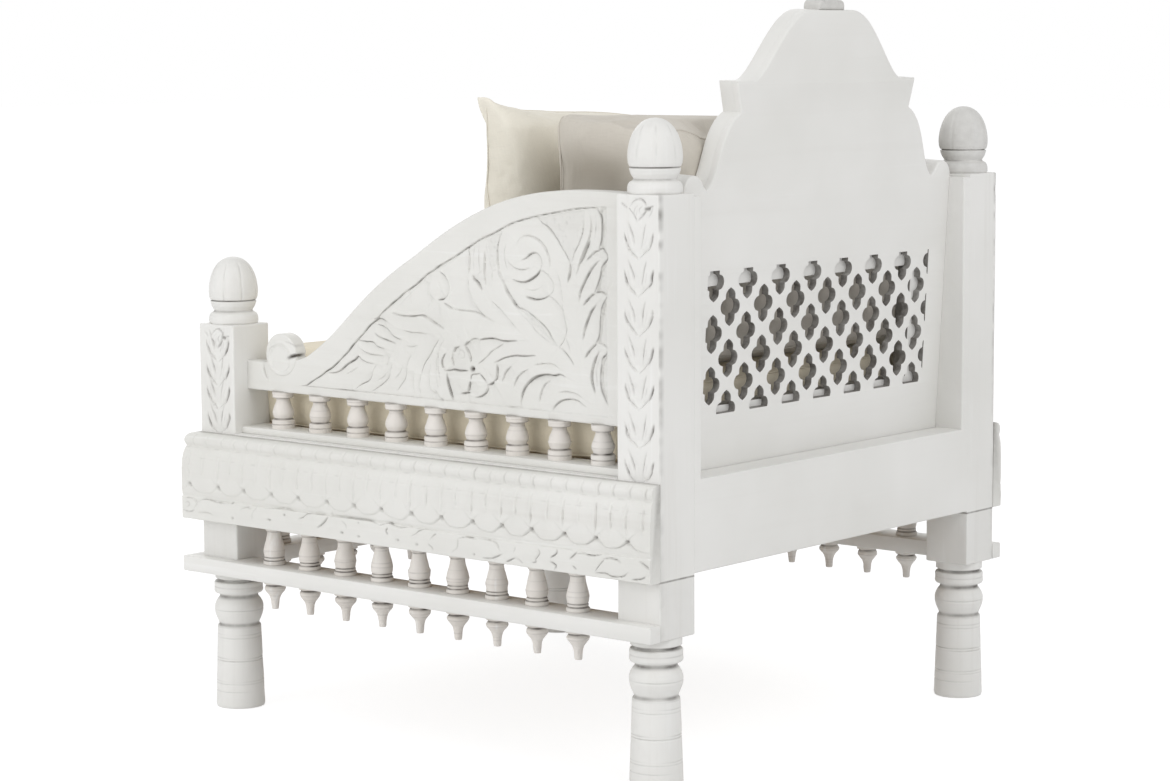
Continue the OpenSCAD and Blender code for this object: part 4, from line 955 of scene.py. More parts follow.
def apron():
    """The plain rear apron. Its upper rear edge is rounded only between the battens, which stand flush on it."""
    rings = []
    for x in (-296, -282.5, -280.5, -140, 0, 140, 280.5, 282.5, 296):
        top = 2.0 if abs(x) < 281 else 0.05
        s = rounded([(358.5, 257), (399.5, 257), (399.5, 369), (358.5, 369)], (1.5, 2.5, top, 1.0))
        rings.append(np.column_stack([np.full(len(s), x), s]))
    return loft(rings)


def batten():
    """The left batten: flush with the post, and rounded at its free edge."""
    rings = []
    for z in (369, 430, 500, 570, 640, 701.6, 703):
        y = BACK_Y + (z - BACK_FOOT) * math.tan(math.radians(BACK_LEAN)) + 0.15
        cap = 1.4 if z > 702 else 0.0
        s = rounded([(282, y), (282, Y_REAR - cap), (296, Y_REAR - cap), (296, y)], (0.05, 2.6, 0.05, 0.05))
        rings.append(np.column_stack([s, np.full(len(s), z)]))
    return loft(rings)


def board(outline, holes, low, high, r_low, r_high, hole_r, hole_wall_shade):
    """A flat board of (x, v, w) points with rounded edges, pierced by holes whose walls are darkened with painted
    shade by the last argument.
    """
    points, faces, dirt_and_shade = [], [], []
    start = 0
    first, last = [], []
    for k, contour in enumerate([outline] + list(holes)):
        c = np.asarray(contour, float)
        step = into_wood(c, k > 0)
        a, b = (r_low, r_high) if k == 0 else (hole_r, 0.4)
        levels = [(low + a * (1 - math.cos(t)), a * (1 - math.sin(t))) for t in np.radians((0, 25, 50, 70, 90))]
        levels += [(high - b * (1 - math.cos(t)), b * (1 - math.sin(t))) for t in np.radians((90, 60, 30, 0))]
        n = len(c)
        for w, d in levels:
            points.append(np.column_stack([c + step * d, np.full(n, w)]))
            # Painted shade on the hole walls behind their rounded edge
            inner = hole_wall_shade if k and w > low + 0.6 * a else 0.0
            dirt_and_shade.append(np.full(n, inner))
        faces += quads(len(levels), n, True, start)
        first.append((start, n))
        last.append((start + (len(levels) - 1) * n, n))
        start += len(levels) * n
    points = np.concatenate(points)
    for ends in (first, last):
        index = np.concatenate([np.arange(s, s + n) for s, n in ends])
        polylines = [[Vector(points[i]) for i in range(s, s + n)] for s, n in ends]
        faces += [[int(index[i]) for i in triangle] for triangle in tessellate_polygon(polylines)]
    return points, faces, np.concatenate(dirt_and_shade)


def on_back(part):
    """Moves a part from the back board's own (x, v, w) space to the chair's."""
    p, f, d = part
    a = math.radians(BACK_LEAN)
    x, v, w = np.asarray(p, float).T
    y = BACK_Y - w * math.cos(a) + v * math.sin(a)
    return np.column_stack([x, y, BACK_FOOT + v * math.cos(a) + w * math.sin(a)]), f, d


def back_outline():
    """Outline of the back board in its own plane: flat crest, shoulders, and a lobe beside each post."""
    x, v = 241.0, 458.5
    a = np.radians(np.linspace(-6, 158, 24))
    half = [(295.5, -32), (295.5, 326)] + [(265.5 + 19 * math.cos(t), 330 + 19 * math.sin(t)) for t in a]
    half += [(x, 330.5)]
    half += bezier((x, 330), (0.896 * x, 343), (0.917 * x, v - 54), (0.743 * x, v - 37), 14)[1:].tolist()
    half += [(0.763 * x, v - 20), (0.78 * x, v - 6), (0.784 * x, v), (0.656 * x, v)]
    half += bezier((0.656 * x, v), (0.531 * x, v + 5), (0.39 * x, CREST - 2), (46, CREST), 20)[1:].tolist()
    half = np.array(half, float)
    return spread(np.vstack([half, half[::-1] * (-1, 1)]))


def quatrefoil(n=56):
    """One pierced hole: round lobes to the sides, points above and below."""
    leaf = [(0, 23.5), (5.2, 20.7), (9.4, 16.7), (9.4, -16.7), (5.2, -20.7), (0, -23.5), (-5.2, -20.7),
            (-9.4, -16.7), (-9.4, 16.7), (-5.2, 20.7)]
    out = []
    for a in np.linspace(0, 2 * math.pi, n, endpoint=False):
        c, s = math.cos(a), math.sin(a)
        reach = 0.0
        for (x1, y1), (x2, y2) in zip(leaf, leaf[1:] + leaf[:1]):
            det = c * (y1 - y2) - s * (x1 - x2)
            if abs(det) > 1e-9:
                t = (x1 * (y1 - y2) - y1 * (x1 - x2)) / det
                u = (c * y1 - s * x1) / det
                if t > 0 and -1e-9 <= u <= 1 + 1e-9:
                    reach = max(reach, t)
        inner = 8.93 ** 2 - (10.07 * s) ** 2
        if inner > 0:
            reach = max(reach, 10.07 * abs(c) + math.sqrt(inner))
        out.append((reach * c, reach * s))
    return out


def clipped(polygon, axis, limit, way):
    """The part of a polygon on one side of an upright or level line."""
    out = []
    for a, b in zip(polygon, polygon[1:] + polygon[:1]):
        ka, kb = way * (a[axis] - limit), way * (b[axis] - limit)
        if ka >= 0:
            out.append(a)
        if (ka > 0 > kb) or (ka < 0 < kb):
            t = ka / (ka - kb)
            out.append((a[0] + (b[0] - a[0]) * t, a[1] + (b[1] - a[1]) * t))
    return out


def lattice_holes():
    """The pierced holes, in rows that are set half a pitch apart, cropped by the field's straight border."""
    shape = quatrefoil()
    middle, pitch, rise, left, right = -16, 66.9, 31.3, -243, 231
    low, high = (z - BACK_FOOT for z in LATTICE)
    holes = []
    for row in range(6):
        for k in range(-4, 5):
            x, v = middle + (k + (row % 2) / 2) * pitch, low + 4.5 + row * rise
            hole = [(x + a, v + b) for a, b in shape]
            for axis, limit, way in ((0, left, 1), (0, right, -1), (1, low, 1), (1, high, -1)):
                hole = clipped(hole, axis, limit, way) if hole else hole
            if len(hole) < 3:
                continue
            p = np.array(hole)
            p = p[np.hypot(*(p - np.roll(p, 1, 0)).T) > 0.3]
            if len(p) > 3 and np.ptp(p[:, 0]) > 3 and np.ptp(p[:, 1]) > 3:
                holes.append(spread(p, 4.0))
    return holes


def crest_ornament():
    """The small turned-looking ornament on the crest, cut from the board and well rounded."""
    w, h = 27.0, 48.0
    a = np.radians(np.linspace(20, 130, 9))
    half = [(w, 0), (w, 5)] + [(w - 7 + 7 * math.cos(t), 5 + 7 * math.sin(t)) for t in a]
    half += [(w * 0.38, 14), (w * 0.36, 18)]
    half += [(w * 0.36 + 9 * math.cos(t), 27 + 9 * math.sin(t)) for t in np.radians(np.linspace(-75, 75, 12))]
    half += [(w * 0.25, 39), (w * 0.16, 44)]
    half = np.array(half, float)
    outline = spread(np.vstack([half, [(0, h)], half[::-1] * (-1, 1)]), 5.0)
    p, f, _ = board(outline, [], 2.0, 28.0, 3.2, 3.2, 1, 0)
    return np.asarray(p) + (0, CREST, 0), f, np.full(len(p), 0.3)


# Arm panels

# The arm's top line from the rear post to the scroll: two Bezier curves, in shares of its run and rise
ARM_TOP = ([(1, 1), (0.775, 1.018), (0.635, 0.999), (0.411, 0.686)],
           [(0.411, 0.686), (0.219, 0.463), (0.206, 0.335), (0.076, 0.177)])

# Strokes of the carving on the arm's outer face: kind, side that is cut lower, and points in (y, z)
ARM_STROKES = [
    ("D", -1, [(284, 687), (289, 679), (291, 668), (291, 655), (289.5, 645), (286, 637)]),
    ("D", -1, [(293, 638), (299.5, 634), (300, 628), (295, 623), (290, 617), (287.5, 605), (284, 595), (280, 587)]),
    ("D", -1, [(299, 583), (294, 577), (289.5, 568), (287.5, 555), (287.5, 545), (286, 534), (282, 527)]),
    ("D", -1, [(299, 519), (297.5, 514), (291, 509), (288.5, 500), (287.5, 488), (288, 477), (291, 469), (296, 461),
               (300, 455)]),
    ("B", 1, [(287, 637.5), (280, 636), (273, 631.5), (266, 625)]),
    ("B", 1, [(281, 586), (275, 584), (268, 578), (263, 571)]),
    ("B", 1, [(283, 527), (276, 522), (270, 516), (265, 508)]),
    ("B", 1, [(299, 634), (293, 640), (286, 638)]),
    ("B", 1, [(298, 584), (290, 588.5), (281, 587)]),
    ("C", 1, [(299, 520), (293, 526), (284, 527.5)]),
    ("B", 1, [(287, 626), (280, 622), (271, 611), (263, 597), (258, 586), (256.5, 575)]),
    ("B", 1, [(282, 574), (275, 566), (268, 552), (264, 540), (262.5, 530)]),
    ("B", 1, [(285, 517), (279, 508), (274.5, 492), (275, 480), (280, 467)]),
    ("C", 0, [(288, 512), (282, 503), (280, 490), (282, 474)]),
    ("C", 1, [(273.5, 678), (274, 665), (271.5, 652), (265, 638), (259, 625), (251, 606)]),
    ("B", 1, [(272, 649), (264, 635), (257, 621)]),
    ("C", 1, [(263, 676), (262, 660), (257, 645), (250, 633), (246, 622)]),
    ("C", 0, [(281, 680), (281, 665), (279, 650)]),
    ("B", -1, [(190, 674), (198, 667), (206, 663), (214, 657), (222, 648), (229, 639), (236, 631), (243, 620)]),
    ("B", 1, [(243, 620), (242, 611), (240.5, 604), (240, 597)]),
    ("C", 1, [(157, 641), (163, 647), (171, 650.5), (182, 650), (193, 646), (203, 637), (210, 624), (211, 614)]),
    ("A", -1, [(150, 596.5), (160, 594.5), (171, 595), (181, 599), (190, 605), (195.5, 611.5)]),
    ("B", 1, [(195.5, 611.5), (198.5, 619), (195, 627), (189, 631), (180, 629), (173, 624), (166, 621)]),
    ("C", -1, [(195, 611), (204, 607), (211, 602), (215.5, 594), (215, 586), (209, 580)]),
    ("A", -1, [(209, 580), (200, 576), (189, 574), (180, 575), (172, 577)]),
    ("C", -1, [(144, 618), (153, 611.5), (166, 609.5), (178, 612)]),
    ("C", 0, [(170, 586), (182, 585), (192, 588), (198, 592)]),
    ("C", 1, [(134, 655), (127, 641), (125, 625), (127, 610), (134, 597)]),
    ("B", 1, [(134, 597), (140, 584), (147, 575), (158, 564), (168, 561)]),
    ("C", -1, [(224, 606), (228, 592), (231, 575), (231, 566)]),
    ("A", -1, [(230.5, 570), (232, 558), (235, 548), (236.5, 540), (235, 533)]),
    ("B", -1, [(235, 533), (231, 526), (225, 519.5)]),
    ("C", -1, [(209, 580), (218, 575), (225, 569), (231, 562)]),
    ("B", 0, [(160, 563), (170, 561), (181, 556), (191, 550), (201, 543), (208, 536), (214, 528), (222, 520)]),
    ("C", 0, [(160, 561), (169, 552), (180, 544), (189, 535), (199, 529), (211, 523), (224, 519)]),
    ("B", 0, [(224, 519), (232, 515), (240, 508), (248, 499)]),
    ("C", 0, [(235, 531), (240, 522), (243, 514)]),
    ("C", 0, [(107, 645), (109, 630), (113, 617), (118, 607), (125, 607.5)]),
    ("C", 0, [(118, 606), (117, 597), (116, 586)]),
    ("C", 0, [(125, 608), (130, 600), (138, 588)]),
    ("C", 1, [(78, 634), (80, 618), (79, 600)]),
    ("C", 0, [(88, 634), (86, 620), (87, 606)]),
    ("C", 0, [(96, 637), (96, 618), (98, 602)]),
    ("C", 1, [(104, 634), (105, 615), (104, 600), (107, 586)]),
    ("B", 1, [(86, 600), (88, 594), (94, 590.5), (101, 581)]),
    ("B", -1, [(79, 592), (78.5, 583), (82, 573), (88, 563), (95, 555), (103, 550)]),
    ("C", -1, [(117, 568), (130, 560), (143, 549), (156, 538)]),
    ("C", 1, [(42, 559), (50, 556), (65, 554.5), (88, 553.5), (104, 549), (122, 543)]),
    ("C", -1, [(13.5, 585), (11.5, 578), (14, 571), (19, 566.5)]),
    ("B", -1, [(30, 600), (38, 596), (43.5, 589), (45.5, 580), (43, 572), (38, 567)]),
    ("A", -1, [(40, 569), (36, 566.5), (28, 565.5)]),
    ("B", 0, [(38, 562.5), (43, 560), (51, 556)]),
    ("B", 1, [(-52, 545), (-42, 543), (-30, 542), (-15, 542.5), (0, 544.5), (10, 541), (22, 536), (37, 530)]),
    ("C", -1, [(-32, 524), (-20, 522.5), (-5, 522.5), (7, 522)]),
    ("B", -1, [(-82, 536), (-74, 537), (-66, 535.5), (-60, 533)]),
    ("B", -1, [(-78, 529), (-68, 527), (-60, 524), (-52, 517), (-45, 514), (-36, 512)]),
    ("B", 0, [(-82, 518), (-74, 513), (-63, 510), (-46, 506)]),
    ("B", -1, [(-112, 507), (-98, 506), (-85, 506), (-78, 501), (-66, 498.5)]),
    ("C", -1, [(-108, 496), (-100, 492), (-88, 490), (-70, 489.5)]),
    ("B", -1, [(-166, 461), (-152, 463), (-142, 468), (-132, 475), (-120, 481), (-113, 486), (-107, 482), (-98, 479),
               (-88, 478)]),
    ("B", -1, [(-82, 477), (-87, 470), (-90, 461), (-96, 455), (-108, 450), (-119, 443)]),
    ("C", -1, [(-56, 490), (-60, 484), (-62, 478)]),
    ("B", -1, [(-52, 480), (-56, 472), (-58, 464), (-66, 456), (-77, 449), (-90, 442)]),
    ("B", -1, [(-20, 493), (-25, 486), (-28, 474), (-31, 463), (-38, 454), (-45, 446)]),
    ("A", -1, [(27, 515), (20, 507), (13, 497), (5, 487), (0, 480), (-3, 471)]),
    ("C", -1, [(-4, 470), (-6, 458), (-5, 447)]),
    ("C", -1, [(38, 516), (31, 508), (28, 496), (28, 480), (31, 464)]),
    ("C", -1, [(26, 500), (24, 486), (24, 470), (27, 456)]),
    ("C", -1, [(14, 484), (11, 470), (12, 455), (22, 447)]),
    ("B", -1, [(22, 452), (28, 444), (36, 441)]),
    ("C", -1, [(-15, 472), (-17, 460), (-16, 448)]),
    ("B", 1, [(40, 500), (34, 492), (34, 484), (39, 478.5)]),
    ("A", 1, [(38, 478.3), (46, 478.6), (53, 480), (62, 479.3), (76, 480)]),
    ("B", -1, [(52, 501), (55, 507), (62, 509.5)]),
    ("C", 1, [(50, 501), (49, 492), (52, 484)]),
    ("B", 1, [(71, 511), (76, 504), (79, 498), (81, 491)]),
    ("B", -1, [(71, 511), (75, 515), (80, 517.5)]),
    ("C", -1, [(80, 518), (88, 521), (97, 520)]),
    ("A", -1, [(96, 519.5), (106, 522), (120, 523), (135, 521), (157, 522.5)]),
    ("B", 0, [(93, 490), (100, 494), (108, 500), (117, 508), (134, 517)]),
    ("A", 0, [(120, 493.5), (127, 496), (138, 500.5), (154, 504), (170, 504.5), (188, 506.5)]),
    ("B", 1, [(124.5, 492), (125, 483), (123.5, 474), (119, 470)]),
    ("A", 1, [(119, 470), (114, 466.5), (109, 465)]),
    ("B", 0, [(96, 478), (101, 474), (108, 467)]),
    ("B", 1, [(109, 465), (107, 458), (101, 452), (92, 448.5), (88, 448.5)]),
    ("B", 0, [(97, 478.5), (90, 477), (83, 475.5), (81, 469)]),
    ("B", 1, [(80, 468), (78, 459), (76, 453)]),
    ("A", 1, [(79, 453.5), (72, 452.5), (65, 451)]),
    ("A", 1, [(42, 476), (42.5, 466), (45, 457), (48, 449), (51, 442)]),
    ("B", -1, [(163.5, 441), (163, 450), (166, 461), (173, 471), (183, 478.5), (195, 483), (207, 485), (214, 483)]),
    ("A", -1, [(172, 470), (183, 478.5), (195, 483), (207, 484.5), (216, 484), (226, 486), (235, 483.5)]),
    ("B", -1, [(213, 441), (218, 448), (227, 454), (240, 457), (252, 456), (260, 452.5), (266, 449.5)]),
    ("C", -1, [(224, 464), (236, 466), (251, 464.5), (263, 459)]),
    ("C", -1, [(151, 464), (155, 474), (164, 483), (176, 489)]),
    ("C", -1, [(186, 495), (200, 497.5), (214, 498), (225, 493)]),
    ("C", -1, [(132, 470), (137, 482), (148, 491)]),
    ("C", -1, [(193, 450), (194, 460), (199, 471), (209, 478)]),
    ("C", 0, [(60, 498), (63, 505), (70, 503), (70, 496), (63, 494)]),
    ("C", 0, [(140, 640), (137, 630), (138, 618), (143, 606)]),
    ("C", 0, [(-30, 505), (-20, 504), (-8, 506)]),
    ("C", 0, [(-62, 470), (-70, 462), (-80, 457)]),
    ("C", 0, [(-35, 480), (-40, 470), (-48, 462)]),
    ("C", 0, [(-135, 462), (-125, 466), (-115, 472)]),
]
# What each kind of stroke is: its depth, its width, the step to its lower side, how far that reaches, and its
# darkness, which is soiling and painted shade in the cut
ARM_CUTS = {"D": (3.5, 3.8, 2.6, 12, 1.0), "A": (2.2, 2.4, 2.4, 14, 0.95), "B": (1.8, 2.2, 2.2, 14, 0.76),
            "C": (0.9, 2.0, 1.8, 15, 0.3)}
# The groove that parts the carved field from the arm's plain border, in (y, z)
ARM_EDGE = [(-215, 441.5), (-207, 442), (-200, 446), (-190, 451.5), (-180, 456.5), (-170, 463), (-160, 468),
            (-150, 475), (-140, 483), (-130, 491), (-120, 501), (-110, 509.5), (-100, 518), (-90, 527.5), (-80, 534),
            (-70, 543), (-60, 550.5), (-50, 558), (-40, 564.5), (-30, 571.5), (-20, 577), (-10, 583), (0, 590),
            (10, 597), (20, 602), (30, 608), (40, 612.5), (60, 622.5), (80, 633.5), (100, 644), (120, 651.5),
            (135, 658.5), (150, 665), (170, 670.5), (185, 674), (200, 677), (220, 680.5), (245, 685), (270, 687.5),
            (300, 689.5)]
# Regions between the leaves that are cut lower: depth, outline in (y, z), and how deep they are punched
ARM_GROUNDS = [
    (1.5, [(191, 673), (205, 661), (222, 646), (232, 633), (243, 619), (250, 632), (258, 646), (264, 662), (265, 685),
           (240, 683), (215, 678)], 0.5),
    (1.2, [(107, 643), (112, 619), (118, 607), (124, 611), (126, 635), (133, 655), (120, 650)], 0.3),
    (3.4, [(290, 688), (300, 689), (300, 635), (293, 639), (290, 645), (292, 658), (291.5, 670), (288, 680)], 0.6),
    (3.4, [(300, 627), (300, 585), (284, 588), (287, 600), (290, 614), (295, 621)], 0.8),
    (3.4, [(299, 581), (300, 521), (285, 528), (288.5, 540), (289, 555), (292, 570)], 0.8),
    (3.4, [(300, 514), (300, 458), (293, 467), (289, 478), (289.5, 500), (293, 508)], 0.8),
    (1.5, [(163, 561), (181, 555), (200, 541), (212, 527), (221, 520), (205, 527), (190, 537), (178, 547),
           (168, 555)], 0.7),
    (1.0, [(-52, 548), (0, 588), (40, 610), (77, 630), (79, 600), (77, 583), (90, 558), (60, 556), (46, 560),
           (47, 580), (42, 594), (26, 602), (11, 592), (8, 575), (20, 562), (2, 547), (-30, 545)], 0.0),
]


def bezier(a, b, c, d, n):
    """n points on the curve from a to d that b and c pull at."""
    t = np.linspace(0, 1, n)[:, None]
    a, b, c, d = (np.array(p, float) for p in (a, b, c, d))
    return (1 - t) ** 3 * a + 3 * (1 - t) ** 2 * t * b + 3 * (1 - t) * t * t * c + t ** 3 * d


def arm_top_line():
    """Points of the arm's upper edge, from the front post to the rear one."""
    run, rise = Y_REAR_IN - SCROLL[0], REAR_H - ARM_Z
    p = np.vstack([bezier(*c, 60) for c in ARM_TOP])
    p = np.column_stack([SCROLL[0] + p[:, 0] * run, ARM_Z + p[:, 1] * rise])[::-1]
    low = np.array([(Y_FRONT_IN, 468), (-281, 468), (-272, 471), (-238, 473), (-222, 474.5)])
    return np.vstack([low, p])


def arm_panel():
    """The left arm: a board carved on its outer face, and the scroll at its front end."""
    top = arm_top_line()
    y = np.linspace(Y_FRONT_IN, Y_REAR_IN, 641)
    z_top = np.interp(y, top[:, 0], top[:, 1])
    rows = 262
    t = np.linspace(0, 1, rows)
    yy = np.repeat(y[:, None], rows, 1)
    zz = ARM_Z + (z_top[:, None] - ARM_Z) * t[None, :]
    relief = Relief(yy, zz)
    for depth, polygon, punch in ARM_GROUNDS:
        relief.ground(polygon, depth, 2.2, punch, 7)
    field = relief.inside([(-205, 441)] + ARM_EDGE[1:] + [(300, 441)])
    relief.h -= 0.5 * field
    for kind, low, points in ARM_STROKES:
        depth, width, step, soft, dark = ARM_CUTS[kind]
        relief.cut(points, depth, width, low, step, soft, dark, 0.28, (1, 1), 0.12 if kind in "DA" else 0.45)
    relief.cut(ARM_EDGE, 2.0, 1.9, -1, 1.4, 10, 0.72, 0.06, (1, 1), 0.55)
    relief.cut([(-158, 441), (-112, 441)], 1.0, 2.2, 1, 0.4, 6, 0.4, 0.3)
    relief.cut([(-200, 441), (-60, 441), (120, 440.5), (300, 440)], 0.8, 2.2, 1, 0.4, 6, 0.14, 0)
    relief.cut([(140, 440.5), (165, 441)], 1.0, 2.2, 0, 0, 6, 0.5, 0.3)
    relief.cut([(-22, 441), (-8, 440)], 1.0, 2.2, 0, 0, 6, 0.4, 0.3)
    relief.cut([(83.4, 483), (84.6, 483.1)], 3.5, 7.5, 0, 0, 6, 1.4, 0)
    relief.cut([(-284, 470), (-286, 462), (-283, 452), (-277, 444)], 1.0, 4, 1, 1.6, 9, 0.08, 0.3)
    h = np.clip(relief.h, -5.5, 0.9) + 0.35 * wobble(yy, zz, 45, 3) * field
    edge = np.column_stack([y, z_top])
    _, dist, _, _ = Relief(yy, zz).near(edge, 2000)
    dist = np.minimum(dist.reshape(yy.shape), zz - ARM_Z + 0.4)
    r = 2.6
    d = np.clip(dist, 0, r)
    h -= r - np.sqrt(np.maximum(r * r - (r - d) ** 2, 0))
    front = np.stack([ARM_X_OUT + h, yy, zz], -1)
    back = np.stack([np.full(yy.shape, ARM_X_IN), yy, zz], -1)
    return [plate(front, back, relief.dirt_and_shade), scroll_disc()]


def scroll_disc():
    """The volute at the arm's front end: a thick disc with a rolled rim and a sunken eye on each face."""
    r = SCROLL_R
    rings = np.concatenate([np.linspace(0.4, r - 2.2, 34), r - 2.2 + 2.2 * np.sin(np.radians(np.arange(15, 91, 15)))])
    a = np.linspace(0, 2 * math.pi, 144, endpoint=False)
    rr, aa = np.meshgrid(rings, a, indexing="ij")
    y, z = rr * np.cos(aa), rr * np.sin(aa)
    relief = Relief(y + SCROLL[0], z + SCROLL[1])
    d = np.hypot(y + 1.5, z + 5)
    relief.h -= 1.7 / (1 + np.exp((d - 18.0) / 1.0))
    relief.h += 0.7 * np.exp(-((d - 20.5) / 2.2) ** 2)
    relief.cut([(-205, 478), (-214, 480), (-226, 479.6), (-241, 475)], 4.2, 6.0, 0, 0, 5, 1.5, 0.35, (1, 1), 0.05)
    relief.cut([(-228, 480.5), (-222, 487), (-230, 494), (-242, 497)], 1.0, 2.8, 1, 0.8, 6, 0.3, 0.4)
    relief.cut([(-273, 478), (-271, 486), (-263, 490)], 1.0, 3.4, 0, 0, 5, 0.2, 0.4)
    over = np.clip((rings - (r - 2.2)) / 2.2, 0, 1)
    round_off = 2.2 * (1 - np.sqrt(np.maximum(1 - over ** 2, 0)))[:, None]
    out = np.stack([ARM_X_OUT + 1.2 + relief.h - round_off, y + SCROLL[0], z + SCROLL[1]], -1)
    inn = np.stack([ARM_X_IN - 1.2 - relief.h * 0.6 + round_off, y + SCROLL[0], z + SCROLL[1]], -1)
    loops = np.concatenate([out, inn[::-1]])
    dirt_and_shade = np.concatenate([relief.dirt_and_shade, 0.25 * relief.dirt_and_shade[::-1]])
    return loft(loops, dirt_and_shade)


def turned_row(profile, places, grime_and_shade, seed, segments=40):
    """One row of the same turned piece, each with its own slight waver."""
    out = []
    for i, (x, y) in enumerate(places):
        r = np.random.default_rng(seed + i)
        p = np.array(profile, float)
        p[1:-1, 0] *= 1 + r.normal(0, 0.018, len(p) - 2)
        p[1:-1, 1] += r.normal(0, 0.12, len(p) - 2)
        p[:, 1] = np.maximum.accumulate(p[:, 1])
        marks = [(r.uniform(p[0, 1] + 3, p[-1, 1] - 3), 0.7, r.uniform(0.1, 0.3)) for _ in range(2)]
        out.append(lathe(p, x, y, segments, (), tuple(grime_and_shade) + tuple(marks), 0, seed + i, 1.5))
    return out


# Assembly of the wooden frame

def side_pieces(side):
    """The wooden pieces of one side, built on the left: each one's name and node without the side, its parts and
    its wood."""
    yield "carved_post_front", post(POST_X, FRONT_Y, FRONT_H, True), "upright", "post_front"
    yield "carved_post_rear", post(POST_X, REAR_Y, REAR_H, False), "upright", "post_rear"
    for where, y, z, turn in (("front", FRONT_Y, FRONT_H, 22), ("rear", REAR_Y, REAR_H, -4)):
        worn = 0.23 if (where, side) == ("rear", "right") else 0.03
        acorn = lathe(finial_profile(z), POST_X, y, 128, (), finial_grime_and_shade(z), 8, 17 + int(z), 1.4,
                      math.radians(turn), worn)
        yield "acorn_finial_" + where, [acorn], "upright", "finial_" + where
    yield "carved_arm", arm_panel(), "along_y", "arm_panel"

    base, out, z, dirt_and_shade = frieze(Y_REAR - Y_FRONT, True, False, 21, [y - Y_FRONT for y in NOTCHES],
                                lambda s: float(np.interp(s, (0, 300, 480, 680), (0.15, 0.3, 0.6, 1.0))))
    carved = loft(np.stack([X_OUT + out, Y_FRONT + base, z], -1), dirt_and_shade)
    yield "carved_frieze", [carved], "along_y", "frieze"

    lower = [(352.0, y) for y in side_places(9, 65, 6.0)]
    spindles = turned_row(lower_spindle_profile(), lower, LOWER_GRIME_AND_SHADE, 50)
    yield "turned_lower_spindles", spindles, "turned", "lower_spindles"
    yield "turned_drops", turned_row(drop_profile(), lower, DROP_GRIME_AND_SHADE, 70), "turned", "drops"
    upper = [(327.0, y) for y in side_places(9, 68, 13.5)]
    spindles = turned_row(gallery_profile(), upper, GALLERY_GRIME_AND_SHADE, 90, 44)
    yield "turned_gallery_spindles", spindles, "turned", "gallery_spindles"

    out, face, inner = X_OUT + RAIL_LIP, X_OUT + GAP, X_OUT - RAIL_IN
    rear, front = Y_REAR_IN - GAP, Y_FRONT_IN + GAP
    rail = [(out, Y_FRONT - RAIL_LIP), (out, Y_REAR), (face, Y_REAR), (face, rear), (inner, rear), (inner, front),
            (face, front), (face, Y_FRONT - GAP)]
    yield "lower_side_rail", [slab(rail, LEG_H, LEG_H + RAIL_T, 1.4, 31)], "rail_y", "lower_rail"
    x_in, x_out, low, high = STRIP
    strip = [(x_in, Y_FRONT_IN), (x_out, Y_FRONT_IN), (x_out, Y_REAR_IN), (x_in, Y_REAR_IN)]
    yield "gallery_board", [slab(strip, low, high, 1.2, 33)], "along_y", "gallery_strip"
    yield "plain_batten", [batten()], "plain_x", "back_batten"


def middle_pieces():
    """The same for the pieces of the front and the back."""
    gaps = [X_OUT + x for x in side_places(14, 51.0, 0)]
    base, out, z, dirt_and_shade = frieze(2 * X_OUT, True, True, 22, gaps, lambda s: 0.6)
    carved = loft(np.stack([base - X_OUT, Y_FRONT - out, z], -1), dirt_and_shade)
    yield "carved_frieze_front", [carved], "along_x", "frieze_front"
    lower = [(x, -371.5) for x in side_places(8, 65, 0)]
    spindles = turned_row(lower_spindle_profile(), lower, LOWER_GRIME_AND_SHADE, 110)
    yield "turned_lower_spindles_front", spindles, "turned", "lower_spindles_front"
    yield "turned_drops_front", turned_row(drop_profile(), lower, DROP_GRIME_AND_SHADE, 130), "turned", "drops_front"
    half = [(X_OUT + RAIL_LIP, Y_FRONT - RAIL_LIP), (X_OUT + GAP, Y_FRONT - GAP), (X_IN - GAP, Y_FRONT - GAP),
            (X_IN - GAP, Y_FRONT + RAIL_IN)]
    rail = half + [(-x, y) for x, y in half[::-1]]
    yield "lower_front_rail", [slab(rail, LEG_H, LEG_H + RAIL_T, 1.4, 32)], "along_x", "lower_rail_front"

    yield "plain_rear_apron", [apron()], "plain_x", "rear_apron"
    outline = back_outline()
    # The lattice holes' walls and the window's edges carry painted shade
    pierced = board(outline, lattice_holes(), 0, 10, 3.0, 0.2, 0.7, 0.85)
    yield "pierced_back_board", [on_back(pierced)], "plain_x", "back_lattice_board"
    low, high = (z - BACK_FOOT for z in WINDOW)
    window = spread([(-WINDOW_X, low), (WINDOW_X, low), (WINDOW_X, high), (-WINDOW_X, high)], 15.0)
    windowed = board(outline, [window], 10, 30, 0.2, 2.4, 0.8, 0.7)
    yield "windowed_back_board", [on_back(windowed)], "plain_x", "back_front_board"
    yield "carved_crest_ornament", [on_back(crest_ornament())], "plain_x", "crest_ornament"


